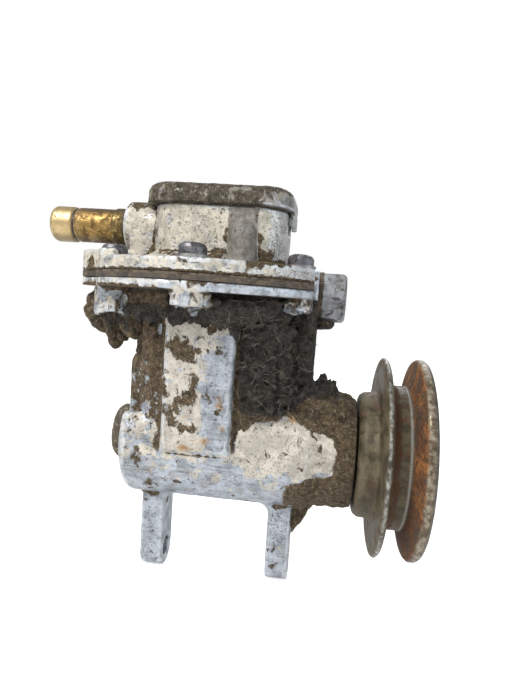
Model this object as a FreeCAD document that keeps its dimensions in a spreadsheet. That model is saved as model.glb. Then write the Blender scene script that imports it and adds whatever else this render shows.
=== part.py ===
import FreeCAD, Part
import math
import os
import re
import Sketcher

os.makedirs("parts", exist_ok=True)
doc = FreeCAD.newDocument("air_compressor")
V = FreeCAD.Vector

# ---------------------------------------------------------------- sizes (mm)
# Frame: origin midway between the pivot lugs on the pivot axis, +X along the
# shaft to the pulley, +Z up through the head.
SIZES = [
    ("shaft_height", 49.0, "pivot axis to shaft axis, clears a 40 mm pulley and its belt"),
    ("head_x", -7.0, "centre of the diaphragm and of the flange"),
    ("lug_gap", 44.0, "free width between the two pivot lugs"),
    ("lug_thickness", 9.4, "each lug"),
    ("lug_depth", 15.6, "lug width across Y"),
    ("pivot_radius", 4.2, "clearance hole for an 8 mm pivot bolt"),
    ("lug_end_radius", 7.8, "round end of a lug"),
    ("tube_radius", 24.0, "outside of the crank chamber"),
    ("tube_left", -37.4, "rear end face of the casting"),
    ("cap_radius", 11.5, "rear end cap"),
    ("cap_spigot", 2.8, "length of the end cap inside the casting"),
    ("side_left", -37.0, "rear face of the block under the hose tail"),
    ("chamber_radius", 21.0, "inside of the crank chamber, clears the big end by 1 mm"),
    ("chamber_left", -26.0, "rear wall of the chamber"),
    ("chamber_right", 34.0, "front wall of the chamber"),
    ("housing_right", 54.2, "front face of the bearing housing"),
    ("front_race_radius", 17.5, "35 mm outside of the front ball bearing"),
    ("housing_wall", 4.5, "casting round the front bearing"),
    ("front_bearing_left", 36.0, "front bearing, left face"),
    ("front_bearing_width", 11.0, "front bearing"),
    ("shaft_radius", 7.5, "15 mm shaft at the front bearing and the pulley"),
    ("seat_radius", 7.0, "14 mm shaft in the eccentric"),
    ("tail_radius", 6.0, "12 mm shaft in the rear bearing"),
    ("rear_race_radius", 14.0, "28 mm outside of the rear ball bearing"),
    ("rear_bearing_left", -33.4, "rear bearing, left face"),
    ("rear_bearing_width", 8.0, "rear bearing"),
    ("throw", 2.5, "eccentric offset, gives a 5 mm diaphragm stroke"),
    ("eccentric_radius", 11.5, "eccentric journal"),
    ("bush_bore", 11.55, "big end bush, 0.05 mm running clearance"),
    ("bush_radius", 13.5, "outside of the big end bush"),
    ("big_end_radius", 17.5, "outside of the rod's big end"),
    ("rod_half", 6.5, "half width of the big end along the shaft"),
    ("flange_low", 110.0, "underside of the crankcase flange"),
    ("flange_split", 113.4, "top of the crankcase flange"),
    ("diaphragm_thickness", 1.6, "fabric and rubber sheet"),
    ("head_low", 115.8, "underside of the head flange"),
    ("head_flange_top", 121.0, "top of the head flange"),
    ("screw_circle", 41.0, "radius of the six flange screws"),
    ("flange_radius", 47.6, "round edge of the flange and head"),
    ("flange_right", 34.0, "flat end of the flange beside the filler plug"),
    ("boss_radius", 6.8, "screw boss under the flange"),
    ("bowl_radius", 30.0, "free radius of the diaphragm"),
    ("plate_radius", 20.0, "diaphragm clamp plates"),
    ("plate_thickness", 2.5, "diaphragm clamp plates"),
    ("ear_left", -58.0, "flange ear under the hose tail"),
    ("lid_low", 143.0, "top of the head walls"),
    ("lid_left", -33.4, "rear end of the lid"),
    ("lid_right", 24.4, "front end of the lid, over the air intake"),
    ("rib_x", 6.8, "screw rib on the side of the head"),
    ("rib_radius", 5.8, "screw rib at its foot"),
    ("rib_tip", 4.4, "round top of the screw rib"),
    ("lid_thickness", 7.5, "lid"),
    ("tail_axis", 135.2, "hose tail axis height"),
    ("tail_pipe_radius", 7.1, "hose tail outside"),
    ("bead_radius", 7.35, "hose tail bead, for a 14 mm hose"),
    ("tail_bore", 4.6, "hose tail bore"),
    ("tail_end", -77.2, "free end of the hose tail"),
    ("tail_collar", -50.2, "outer end of the hose tail's collar"),
    ("collar_radius", 7.6, "hose tail collar"),
    ("plug_axis", 111.4, "filler plug axis height"),
    ("plug_flats", 19.0, "across flats of the filler plug"),
    ("pulley_radius", 40.0, "outside of the pulley"),
    ("groove_floor", 29.0, "groove floor radius"),
    ("hub_radius", 25.5, "pulley hub drum"),
    ("hub_left", 55.2, "pulley hub, left face"),
    ("seat_bore", 5.0, "valve seat port"),
    ("cartridge_radius", 8.5, "outside of a valve cartridge"),
    ("valve_radius", 6.3, "valve disc"),
    ("valve_lift", 1.5, "travel of a valve disc"),
    ("inlet_x", 8.4, "inlet valve axis"),
    ("outlet_x", -16.4, "outlet valve axis"),
    ("outlet_seat", 126.0, "face of the outlet valve seat"),
    ("inlet_seat", 129.6, "face of the inlet valve seat"),
]
S = {}
for row, (alias, value, note) in enumerate(SIZES, start=1):
    sheet = doc.getObject("Sizes") or doc.addObject("Spreadsheet::Sheet", "Sizes")
    sheet.set("A%d" % row, alias)
    sheet.set("B%d" % row, str(value))
    sheet.set("C%d" % row, note)
    sheet.setAlias("B%d" % row, alias)
    S[alias] = value
doc.recompute()

NODES = []
COUNT = [0]


def named(rule):
    """A sheet rule with every size written in full."""
    return re.sub(r"[A-Za-z_]\w*", lambda m: "Sizes." + m.group(0), str(rule))


def new(kind, label):
    COUNT[0] += 1
    obj = doc.addObject(kind, "o%d" % COUNT[0])
    obj.Label = label
    return obj


def bind(obj, **rules):
    for prop, rule in rules.items():
        obj.setExpression(prop, named(rule))


def place(obj, x="0", y="0", z="0"):
    for axis, rule in (("x", x), ("y", y), ("z", z)):
        obj.setExpression(".Placement.Base." + axis, named(rule))


def node(obj, label):
    """Give a finished solid its name in the library."""
    obj.Label = label
    NODES.append((label, obj))
    return obj


def box(label, x, y, z):
    obj = new("Part::Box", label)
    bind(
        obj,
        Length="(%s) - (%s)" % (x[1], x[0]),
        Width="(%s) - (%s)" % (y[1], y[0]),
        Height="(%s) - (%s)" % (z[1], z[0]),
    )
    place(obj, x[0], y[0], z[0])
    return obj


TURN = {
    "X": FreeCAD.Rotation(V(0, 1, 0), 90),
    "Y": FreeCAD.Rotation(V(1, 0, 0), -90),
    "Z": FreeCAD.Rotation(),
}


def rod(label, axis, radius, span, at, top=None):
    """A cylinder (or a cone, with a top radius) along one axis."""
    obj = new("Part::Cone" if top else "Part::Cylinder", label)
    if top:
        bind(obj, Radius1=radius, Radius2=top)
    else:
        bind(obj, Radius=radius)
    bind(obj, Height="(%s) - (%s)" % (span[1], span[0]))
    obj.Placement = FreeCAD.Placement(V(), TURN[axis])
    spot = list(at)
    spot.insert("XYZ".index(axis), span[0])
    place(obj, *spot)
    return obj


def join(label, *shapes):
    obj = new("Part::MultiFuse", label)
    obj.Shapes = list(shapes)
    obj.Refine = True
    return obj


def cut(label, base, *tools):
    obj = new("Part::Cut", label)
    obj.Base = base
    obj.Tool = tools[0] if len(tools) == 1 else join(label + "_tools", *tools)
    obj.Refine = True
    return obj


def common(label, one, two):
    obj = new("Part::Common", label)
    obj.Base = one
    obj.Tool = two
    obj.Refine = True
    return obj


def soften(label, base, radius, wanted):
    """Round the edges of base for which wanted(edge) is true."""
    doc.recompute()
    obj = new("Part::Fillet", label)
    obj.Base = base
    edges = [i + 1 for i, e in enumerate(base.Shape.Edges) if wanted(e)]
    obj.Edges = [(i, radius, radius) for i in edges]
    return obj


def turned(label, axis, outline, x="0", y="0", z="0"):
    """A body turned from a closed outline of (along, radius) corners."""
    body = new("PartDesign::Body", label)
    doc.recompute()
    sketch = body.newObject("Sketcher::SketchObject", "profile")
    plane = [f for f in body.Origin.OriginFeatures if f.Role == "XZ_Plane"][0]
    sketch.AttachmentSupport = [(plane, "")]
    sketch.MapMode = "FlatFace"
    flat = [p if axis == "X" else (p[1], p[0]) for p in outline]
    count = len(flat)
    for i in range(count):
        a = V(10 * math.cos(6.28 * i / count) + 20, 10 * math.sin(6.28 * i / count) + 20, 0)
        j = (i + 1) % count
        b = V(10 * math.cos(6.28 * j / count) + 20, 10 * math.sin(6.28 * j / count) + 20, 0)
        sketch.addGeometry(Part.LineSegment(a, b), False)
    for i in range(count):
        sketch.addConstraint(Sketcher.Constraint("Coincident", i, 2, (i + 1) % count, 1))
    for i, (across, up) in enumerate(flat):
        for kind, rule in (("DistanceX", across), ("DistanceY", up)):
            where = sketch.addConstraint(Sketcher.Constraint(kind, -1, 1, i, 1, 1.0))
            sketch.setExpression("Constraints[%d]" % where, named(rule))
    doc.recompute()
    turn = body.newObject("PartDesign::Revolution", "turn")
    turn.Profile = sketch
    turn.ReferenceAxis = (sketch, ["H_Axis" if axis == "X" else "V_Axis"])
    turn.Angle = 360
    place(body, x, y, z)
    doc.recompute()
    return body


def ring(label, axis, inner, outer, span, at):
    return cut(
        label,
        rod(label + "_rim", axis, outer, span, at),
        rod(label + "_bore", axis, inner, ("(%s) - 1" % span[0], "(%s) + 1" % span[1]), at),
    )


def fixed(label, shape):
    """A plain feature for a shape made from the sheet's sizes."""
    obj = new("Part::Feature", label)
    obj.Shape = shape
    return obj


def hexagon(label, axis, flats, span, at):
    """A hexagonal bar along X or Z, flats given across."""
    obj = new("Part::Prism", label)
    obj.Polygon = 6
    bind(obj, Circumradius="(%s) * 0.57735" % flats, Height="(%s) - (%s)" % (span[1], span[0]))
    obj.Placement = FreeCAD.Placement(V(), TURN[axis] * FreeCAD.Rotation(V(0, 0, 1), 30))
    spot = list(at)
    spot.insert("XYZ".index(axis), span[0])
    place(obj, *spot)
    return obj


SHAFT = ("0", "shaft_height")
HEAD = ("head_x", "0")
ANGLES = [30 + 60 * i for i in range(6)]
SCREWS = [
    (S["head_x"] + S["screw_circle"] * math.cos(math.radians(a)),
     S["screw_circle"] * math.sin(math.radians(a)))
    for a in ANGLES
]


def flange_plate(low, high):
    """Round plate with an ear on the tail side, a flat end and a flat beside the filler boss."""
    tall = high - low
    disc = Part.makeCylinder(S["flange_radius"], tall, V(S["head_x"], 0, low))
    wide = S["screw_circle"] * 0.5
    ear = Part.makeBox(-30 - S["ear_left"], 2 * wide, tall, V(S["ear_left"], -wide, low))
    upright = [e for e in ear.Edges if e.BoundBox.ZLength > 0.1 and e.BoundBox.XMax < -40]
    side = Part.makeBox(20, 26, tall + 2, V(27.3, -13, low - 1))
    end = Part.makeBox(40, 120, tall + 2, V(S["flange_right"], -60, low - 1))
    plate = disc.fuse(ear.makeFillet(8.0, upright)).removeSplitter()
    return plate.cut(side.fuse(end)).removeSplitter()


def drilled(shape, radius, low, high, spots):
    holes = [Part.makeCylinder(radius, high - low, V(x, y, low)) for x, y in spots]
    return shape.cut(Part.makeCompound(holes))


# ------------------------------------------------------------------ crankcase
HOUSING = "front_race_radius + housing_wall"
tube = rod("tube", "X", "tube_radius", ("tube_left", "36"), SHAFT)
shoulder = rod("shoulder", "X", "tube_radius", ("36", "40"), SHAFT, top=HOUSING)
housing = rod("housing", "X", HOUSING, ("36", "housing_right"), SHAFT)
slope = rod("slope", "X", "31", ("24", "53"), ("0", "shaft_height"), top=HOUSING)
slope_keep = box("slope_keep", ("24", "54"), ("-15", "15"), ("shaft_height", "shaft_height + 41"))
rear_flat = box("rear_flat", ("tube_left - 1", "chamber_left"), ("-30", "30"),
                ("shaft_height + 13", "shaft_height + tube_radius + 7"))
lower = join(
    "lower_case",
    soften("tube_soft", cut("tube_trim", tube, rear_flat), 3.2,
           lambda e: e.BoundBox.XMax < S["tube_left"] + 0.1 and e.Length > 20),
    shoulder, housing, common("slope_part", slope, slope_keep),
)
pad = soften(
    "pad_soft", box("pad", ("head_x - 13", "head_x + 14"), ("-26", "0"), ("shaft_height", "102")),
    2.2, lambda e: e.BoundBox.YMax < -25.9 or (e.BoundBox.ZMax > 101.9 and e.BoundBox.YMax < 0.1))
column = soften(
    "column_soft", box("column", ("-31", "25"), ("-21", "21"), ("shaft_height", "108")),
    6.0, lambda e: abs(e.BoundBox.ZMax - e.BoundBox.ZMin) > 30)
side_left = soften(
    "side_left_soft", box("side_left", ("side_left", "-28"), ("-15", "15"), ("shaft_height", "84")),
    4.0, lambda e: e.BoundBox.XMax < S["side_left"] + 0.1)
left_neck = rod("left_neck", "Z", "13", ("84", "103"), ("-25", "0"))
filler = soften(
    "filler_soft", box("filler", ("20", "35.8"), ("-11", "11"), ("shaft_height", "plug_axis")),
    3.0, lambda e: e.BoundBox.XMin > 35.7 and e.Length > 40)
filler_boss = rod("filler_boss", "X", "11", ("27.8", "35.8"), ("0", "plug_axis"))
filler_trim = box("filler_trim", ("15", "27.6"), ("-14", "14"), ("109.9", "125"))
bowl = rod("bowl", "Z", "26", ("99.5", "105"), HEAD, top="36")
bowl_rim = rod("bowl_rim", "Z", "36", ("105", "110.5"), HEAD)
base_plate = fixed("base_plate", flange_plate(S["flange_low"], S["flange_split"]))
bosses = [
    rod("boss_%d" % i, "Z", "boss_radius" if x < 0 else "flange_right - %.4f" % x,
        ("104.8" if i not in (2, 3) else "100.6", "112"), ("%.4f" % x, "%.4f" % y))
    for i, (x, y) in enumerate(SCREWS)
]
ear_web = box("ear_web", ("ear_left + 3", "-28"), ("-4", "4"), ("102", "112"))
lugs = []
for tag, side in (("left", -1), ("right", 1)):
    near = "lug_gap / 2 * %d" % side
    far = "(lug_gap / 2 + lug_thickness) * %d" % side
    span = (far, near) if side < 0 else (near, far)
    lugs.append(box("lug_" + tag, span, ("-lug_depth / 2", "lug_depth / 2"), ("0", "shaft_height - 12")))
    lugs.append(rod("lug_end_" + tag, "X", "lug_end_radius", span, ("0", "0")))
web = fixed("web", Part.Face(Part.makePolygon([
    V(x, -4, S["shaft_height"] + z) for x, z in ((31, -37), (42, -19), (31, -9), (31, -37))
])).extrude(V(0, 8, 0)))
lug_body = join("lug_body", *lugs)
solid = join("case_solid", lower, pad, column, side_left, left_neck,
             cut("filler_part", join("filler_all", filler, filler_boss), filler_trim),
             bowl, bowl_rim, base_plate, ear_web, lug_body, web, *bosses)


def at_lug_root(edge):
    """The curved meeting of a lug and the tube."""
    b = edge.BoundBox
    return (b.ZMin > S["shaft_height"] - 29 and b.ZMax < S["shaft_height"] - 16 and b.YMax - b.YMin > 6
            and min(abs(abs(b.XMin) - 22), abs(abs(b.XMax) - 22)) < 0.1
            and b.XMax - b.XMin < 0.1)


rooted = soften("case_rooted", solid, 4.5, at_lug_root)
cavities = [
    rod("crank_room", "X", "chamber_radius", ("chamber_left", "chamber_right"), SHAFT),
    rod("front_land", "X", "front_race_radius - 1.5", ("chamber_right - 1", "front_bearing_left"), SHAFT),
    rod("front_seat", "X", "front_race_radius", ("front_bearing_left", "housing_right + 1"), SHAFT),
    rod("clip_groove", "X", "front_race_radius + 1.1", ("47.1", "48.6"), SHAFT),
    rod("rear_seat", "X", "rear_race_radius", ("rear_bearing_left", "chamber_left + 1"), SHAFT),
    rod("rear_hole", "X", "9", ("tube_left - 8", "rear_bearing_left + 1"), SHAFT),
    box("neck_room", ("-25", "15"), ("-17", "17"), ("shaft_height", "105")),
    rod("bowl_room", "Z", "bowl_radius", ("104.5", "flange_split + 1"), HEAD),
    rod("filler_hole", "X", "6", ("29.5", "37"), ("0", "plug_axis")),
    rod("filler_drop", "Z", "2.6", ("shaft_height + 11", "plug_axis"), ("31.2", "0")),
    rod("pivot_hole", "X", "pivot_radius", ("-45", "45"), ("0", "0")),
]
tapped = [
    rod("tapped_%d" % i, "Z", "3", ("102.5" if i in (2, 3) else "106.3", "115"),
        ("%.4f" % x, "%.4f" % y))
    for i, (x, y) in enumerate(SCREWS)
]
crankcase = node(cut("case", rooted, *(cavities + tapped)), "crankcase")

node(turned("end_cap", "X", [
    ("tube_left + cap_spigot", "0.0"), ("tube_left + cap_spigot", "9"), ("tube_left", "9"),
    ("tube_left", "cap_radius"), ("tube_left - 6.0", "cap_radius"), ("tube_left - 7.4", "10.4"),
    ("tube_left - 8.4", "7.4"),
    ("tube_left - 8.9", "3"), ("tube_left - 9.0", "0.0")], z="shaft_height"), "rear_end_cap")


# ------------------------------------------------------------------- bearings
def bearing(tag, left, width, bore, outer, ball, mean, count):
    """Outer race, inner race, balls and cage of one deep groove bearing."""
    mid = "%s + (%s) / 2" % (left, width)
    span = (left, "%s + %s" % (left, width))
    track = {}
    for part in ("outer", "inner"):
        groove = new("Part::Torus", "%s_%s_groove" % (tag, part))
        bind(groove, Radius1=mean, Radius2="%s + 0.05" % ball)
        groove.Placement = FreeCAD.Placement(V(), TURN["X"])
        place(groove, mid, "0", "shaft_height")
        track[part] = groove
    step = "%s * 0.85" % ball
    outer_blank = ring(tag + "_outer_blank", "X", "%s + %s" % (mean, step), outer, span, SHAFT)
    inner_blank = ring(tag + "_inner_blank", "X", bore, "%s - %s" % (mean, step), span, SHAFT)
    node(cut(tag + "_outer", outer_blank, track["outer"]), tag + "_outer_race")
    node(cut(tag + "_inner", inner_blank, track["inner"]), tag + "_inner_race")
    centre = S[left] + S[width] / 2
    spots = [
        V(centre, mean * math.cos(2 * math.pi * k / count),
          S["shaft_height"] + mean * math.sin(2 * math.pi * k / count))
        for k in range(count)
    ]
    node(fixed(tag + "_ball_set", Part.makeCompound([Part.makeSphere(ball, p) for p in spots])),
         tag + "_balls")
    hoop = ring(tag + "_hoop", "X", "%s - %s * 0.4" % (mean, ball), "%s + %s * 0.4" % (mean, ball),
                ("%s - %s * 1.15" % (mid, ball), "%s + %s * 1.15" % (mid, ball)), SHAFT)
    pockets = fixed(tag + "_pockets", Part.makeCompound(
        [Part.makeSphere(ball + 0.08, p) for p in spots]))
    node(cut(tag + "_hoop_cut", hoop, pockets), tag + "_ball_cage")


bearing("front", "front_bearing_left", "front_bearing_width", "shaft_radius",
        "front_race_radius", 3.0, 12.5, 9)
bearing("rear", "rear_bearing_left", "rear_bearing_width", "tail_radius",
        "rear_race_radius", 2.4, 10.0, 8)
clip_ring = ring("clip_ring", "X", "front_race_radius - 1.9", "front_race_radius + 1",
                 ("47.2", "48.5"), SHAFT)
clip_gap = box("clip_gap", ("46", "50"), ("-3", "3"), ("shaft_height", "shaft_height + 20"))
node(cut("clip", clip_ring, clip_gap), "bearing_snap_ring")
node(turned("seal", "X", [
    ("49", "10.4"), ("49", "front_race_radius"), ("53.6", "front_race_radius"), ("53.6", "9.6"),
    ("52.8", "8.4"),
    ("51.6", "7.55"), ("51", "7.55"), ("51", "8.6"), ("52", "10.4")], z="shaft_height"), "shaft_seal")

# ---------------------------------------------------------------------- shaft
REAR_STEP = "rear_bearing_left + rear_bearing_width + 0.2"
shaft_blank = turned("shaft_blank", "X", [
    ("rear_bearing_left - 0.6", "0.0"), ("rear_bearing_left - 0.6", "5.4"),
    ("rear_bearing_left", "tail_radius"), (REAR_STEP, "tail_radius"),
    (REAR_STEP, "seat_radius"), ("4.4", "seat_radius"), ("4.4", "9.4"),
    ("front_bearing_left", "9.4"), ("front_bearing_left", "shaft_radius"), ("77", "shaft_radius"),
    ("77", "6"), ("86.4", "6"), ("87.2", "5.2"), ("87.2", "0.0")], z="shaft_height")
key_slot = box("key_slot", ("57.9", "68.1"), ("-2.02", "2.02"), ("shaft_height + 5", "shaft_height + 9"))
node(cut("shaft", shaft_blank, key_slot), "drive_shaft")
node(box("key", ("58", "68"), ("-2", "2"), ("shaft_height + 5.02", "shaft_height + 9")), "pulley_key")

CRANK = ("0", "shaft_height + throw")
ecc_body = join("ecc_body", rod("ecc_journal", "X", "eccentric_radius", ("-15.2", "1"), CRANK),
                rod("ecc_flange", "X", "13", ("0", "4.2"), CRANK))
ecc_screw_hole = rod("ecc_screw_hole", "Z", "1.5", ("shaft_height", "shaft_height + 20"), ("2.2", "0"))
node(cut("ecc", ecc_body, rod("ecc_bore", "X", "seat_radius", ("-20", "10"), SHAFT),
         ecc_screw_hole), "eccentric")
node(rod("ecc_screw", "Z", "1.45", ("shaft_height + seat_radius", "shaft_height + 14"), ("2.2", "0")),
     "eccentric_set_screw")
weight_disc = rod("weight_disc", "X", "18.5", ("-21.6", "-15.4"), SHAFT)
weight_cut = box("weight_cut", ("-25", "-10"), ("-20", "20"), ("shaft_height - 1", "shaft_height + 20"))
weight_all = join("weight_all", cut("weight_half", weight_disc, weight_cut),
                  rod("weight_hub", "X", "10.5", ("-21.6", "-15.4"), SHAFT))
node(cut("weight", weight_all, rod("weight_bore", "X", "seat_radius", ("-25", "-10"), SHAFT)),
     "counterweight")

# ------------------------------------------------------- rod, plates, diaphragm
big_end = rod("big_end", "X", "big_end_radius", ("head_x - rod_half", "head_x + rod_half"), CRANK)
shank = box("shank", ("head_x - 5", "head_x + 5"), ("-7", "7"), ("shaft_height + 16", "109"))
flutes = [
    box("flute_%d" % side, ("head_x + %s" % ("2" if side > 0 else "-6"),
                            "head_x + %s" % ("6" if side > 0 else "-2")),
        ("-4.4", "4.4"), ("shaft_height + 22", "101"))
    for side in (-1, 1)
]
pedestal = rod("pedestal", "Z", "8", ("104", "109"), HEAD, top="12.5")
pedestal_top = rod("pedestal_top", "Z", "12.5", ("109", "flange_split"), HEAD)
rod_blank = join("rod_blank", big_end, cut("shank_cut", shank, *flutes), pedestal, pedestal_top)
node(cut("rod_part", rod_blank,
         rod("big_bore", "X", "bush_radius", ("head_x - 10", "head_x + 10"), CRANK),
         rod("screw_tap", "Z", "4", ("99", "120"), HEAD),
         rod("oil_way", "Z", "1.5", ("shaft_height + 10", "shaft_height + 24"), HEAD)),
     "connecting_rod")
node(ring("bush", "X", "bush_bore", "bush_radius", ("head_x - rod_half", "head_x + rod_half"), CRANK),
     "big_end_bush")
node(turned("plate_low", "Z", [
    ("flange_split", "4.05"), ("flange_split", "17.5"), ("flange_split + 1.0", "plate_radius"),
    ("flange_split + plate_thickness", "plate_radius"),
    ("flange_split + plate_thickness", "4.05")], x="head_x"), "lower_diaphragm_plate")
SHEET_LOW = "flange_split + plate_thickness"
SHEET_TOP = "flange_split + plate_thickness + diaphragm_thickness"
node(turned("plate_top", "Z", [
    (SHEET_TOP, "4.05"), (SHEET_TOP, "plate_radius"), (SHEET_TOP + " + 1.4", "plate_radius"),
    (SHEET_TOP + " + plate_thickness", "17.8"), (SHEET_TOP + " + plate_thickness", "7.1"),
    (SHEET_TOP + " + 0.2", "4.05")][:-1] + [(SHEET_TOP + " + 0.2", "4.2")], x="head_x"),
    "upper_diaphragm_plate")
node(turned("plate_screw", "Z", [
    ("102", "0.0"), ("102", "3.95"), (SHEET_TOP + " + 0.2", "3.95"),
    (SHEET_TOP + " + plate_thickness", "6.85"), (SHEET_TOP + " + plate_thickness", "2.4"),
    (SHEET_TOP + " + 0.6", "2.4"), (SHEET_TOP + " + 0.6", "0.0")], x="head_x"), "diaphragm_screw")

sheet_plate = drilled(
    flange_plate(S["flange_split"], S["flange_split"] + S["diaphragm_thickness"]).cut(
        Part.makeCylinder(29.5, 10, V(S["head_x"], 0, S["flange_split"] - 2))),
    3.2, 110, 120, SCREWS)
sheet_low = S["flange_split"] + S["plate_thickness"]
sheet_t = S["diaphragm_thickness"]
dome = Part.Face(Part.makePolygon([
    V(4.05, 0, sheet_low), V(20.6, 0, sheet_low), V(28.5, 0, S["flange_split"]),
    V(30, 0, S["flange_split"]), V(30, 0, S["flange_split"] + sheet_t),
    V(28.9, 0, S["flange_split"] + sheet_t), V(21, 0, sheet_low + sheet_t),
    V(4.05, 0, sheet_low + sheet_t), V(4.05, 0, sheet_low)])).revolve(V(), V(0, 0, 1), 360)
dome.translate(V(S["head_x"], 0, 0))
node(fixed("sheet_part", sheet_plate.fuse(dome).removeSplitter()), "diaphragm")

gasket_low = S["flange_split"] + sheet_t
node(fixed("gasket_part", drilled(
    flange_plate(gasket_low, S["head_low"]).cut(
        Part.makeCylinder(30, 10, V(S["head_x"], 0, gasket_low - 2))),
    3.2, 110, 120, SCREWS)), "head_gasket")

# ----------------------------------------------------------------------- head
head_plate = fixed("head_plate", flange_plate(S["head_low"], S["head_flange_top"]))
raised = flange_plate(S["head_flange_top"] - 1, 123.8)
raised = raised.common(Part.makeBox(30, 60, 10, V(-68.7, -30, 118)))
ear_pad = fixed("ear_pad", drilled(raised, 6.2, 121, 125, SCREWS[2:4]))
tower = soften(
    "tower_soft", box("tower", ("-30", "22"), ("-21.5", "21.5"), ("118", "lid_low - 0.5")),
    13.0, lambda e: abs(e.BoundBox.ZMax - e.BoundBox.ZMin) > 20)
port_box = box("port_box", ("-41", "-20"), ("-10.5", "10.5"), ("118", "tail_axis"))
port_round = soften("port_soft", rod("port_round", "X", "10.5", ("-44.5", "-20"), ("0", "tail_axis")),
                    2.0, lambda e: e.BoundBox.XMax < -44.4 and e.Length > 20)
port_trim = box("port_trim", ("lid_left - 0.6", "-20"), ("-20", "20"), ("lid_low - 0.5", "150"))
rib = rod("rib", "Z", "rib_radius", ("118", "132.6"), ("rib_x", "-21.5"), top="rib_tip")
rib_top = new("Part::Sphere", "rib_top")
bind(rib_top, Radius="rib_tip")
place(rib_top, "rib_x", "-21.5", "132.6")
hood_slot = box("hood_slot", ("14", "24"), ("-6", "6"), ("135.5", "141"))
head_step = rod("head_step", "Z", "31.4", ("119", "124.3"), HEAD, top="27.2")
head_solid = join("head_solid", head_plate, head_step, ear_pad, tower, port_box,
                  cut("port_top_trim", port_round, port_trim), rib, rib_top)


def at_tower_foot(edge):
    b = edge.BoundBox
    return (abs(b.ZMax - S["head_flange_top"]) < 0.01 and abs(b.ZMin - S["head_flange_top"]) < 0.01
            and b.XMin > -31 and b.XMax < 23 and abs(b.YMin) < 22 and abs(b.YMax) < 22)


out_room = soften(
    "out_room", box("out_box", ("-26", "-6"), ("-17.5", "17.5"), ("127", "145")),
    5.0, lambda e: abs(e.BoundBox.ZMax - e.BoundBox.ZMin) > 10)
in_room = soften(
    "in_room", box("in_box", ("-2", "18"), ("-17.5", "17.5"), ("134", "145")),
    5.0, lambda e: abs(e.BoundBox.ZMax - e.BoundBox.ZMin) > 5)
LID_SCREWS = [(-23.5, -15.0), (-23.5, 15.0), (15.5, -15.0), (15.5, 15.0)]
pillars = join("pillars", *[
    rod("pillar_%d" % i, "Z", "4.4", ("125", "lid_low - 0.5"), ("%s" % x, "%s" % y))
    for i, (x, y) in enumerate(LID_SCREWS)])
head_tools = [
    cut("out_space", out_room, pillars), cut("in_space", in_room, pillars),
    rod("plate_room", "Z", "plate_radius + throw + 2", ("head_low - 1", "121.6"), HEAD),
    rod("plate_flare", "Z", "30.4", ("head_low - 0.3", "118.8"), HEAD, top="24.2"),
    rod("outlet_pocket", "Z", "cartridge_radius", ("120", "128"), ("outlet_x", "0")),
    rod("inlet_pocket", "Z", "cartridge_radius", ("120", "135"), ("inlet_x", "0")),
    rod("port_bore", "X", "7", ("-46", "-38"), ("0", "tail_axis")),
    rod("port_way", "X", "4.6", ("-39", "-20"), ("0", "tail_axis")),
    hood_slot,
]
head_holes = [
    rod("through_%d" % i, "Z", "3.3", ("110", "126"), ("%.4f" % x, "%.4f" % y))
    for i, (x, y) in enumerate(SCREWS)
] + [
    rod("head_room_%d" % i, "Z", "6.2", ("head_flange_top", "lid_low - 1"),
        ("%.4f" % x, "%.4f" % y))
    for i, (x, y) in enumerate(SCREWS)
]
lid_taps = [
    rod("lid_tap_%d" % i, "Z", "2", ("131", "146"), ("%s" % x, "%s" % y))
    for i, (x, y) in enumerate(LID_SCREWS)
]
hollow = head_solid
for tool in head_tools:
    hollow = cut("head_less_" + tool.Label, hollow, tool)
node(cut("head", hollow, *(head_holes + lid_taps)), "valve_head")


# -------------------------------------------------------------------- valves
def cartridge(tag, x, seat, way):
    """Seat, cage, disc and spring; way is +1 when the disc opens upwards."""
    at = (x, "0")

    def level(offset):
        return "%s %s %s" % (seat, "+" if way > 0 else "-", offset)

    def span(a, b):
        return (level(a), level(b)) if way > 0 else (level(b), level(a))

    flat = "%s - (%s)" % (seat, "4.4" if way > 0 else "-4.4")
    seat_span = (flat, seat) if way > 0 else (seat, flat)
    node(ring(tag + "_seat", "Z", "seat_bore", "cartridge_radius", seat_span, at), tag + "_valve_seat")
    wall = ring(tag + "_wall", "Z", "7", "cartridge_radius", span(0, 7), at)
    roof = rod(tag + "_roof", "Z", "cartridge_radius", span(7, 8), at)
    vents = [rod(tag + "_vent", "Z", "1.6", span(6, 9), at)]
    for k in range(6):
        t = math.radians(60 * k + 30)
        vents.append(rod("%s_vent_%d" % (tag, k), "Z", "1.1", span(6, 9),
                         ("%s + %.4f" % (x, 5.4 * math.cos(t)), "%.4f" % (5.4 * math.sin(t)))))
    windows = [
        box(tag + "_window_0", ("%s - 10" % x, "%s + 10" % x), ("-2.5", "2.5"), span(2.2, 6.2)),
        box(tag + "_window_1", ("%s - 2.5" % x, "%s + 2.5" % x), ("-10", "10"), span(2.2, 6.2)),
    ]
    tools = vents + (windows if way > 0 else [])
    node(cut(tag + "_cage", join(tag + "_cage_blank", wall, roof), *tools), tag + "_valve_cage")
    node(rod(tag + "_disc", "Z", "valve_radius", span(0, 1.1), at), tag + "_valve_disc")
    low = S[seat] + (1.1 if way > 0 else -7.0)
    turns = Part.makeHelix(1.25, 5.0, 3.6)
    turns.translate(V(0, 0, 0.45))
    wire = Part.Wire([Part.makeCircle(0.4, V(3.6, 0, 0.45), V(0, 1, 0))])
    coil = Part.Wire(turns).makePipeShell([wire], True, True)
    coil.translate(V(S[x], 0, low))
    node(fixed(tag + "_coil", coil), tag + "_valve_spring")


cartridge("outlet", "outlet_x", "outlet_seat", 1)
cartridge("inlet", "inlet_x", "inlet_seat", -1)
node(rod("gauze", "Z", "8", ("134", "135"), ("inlet_x", "0")), "intake_gauze")

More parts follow.
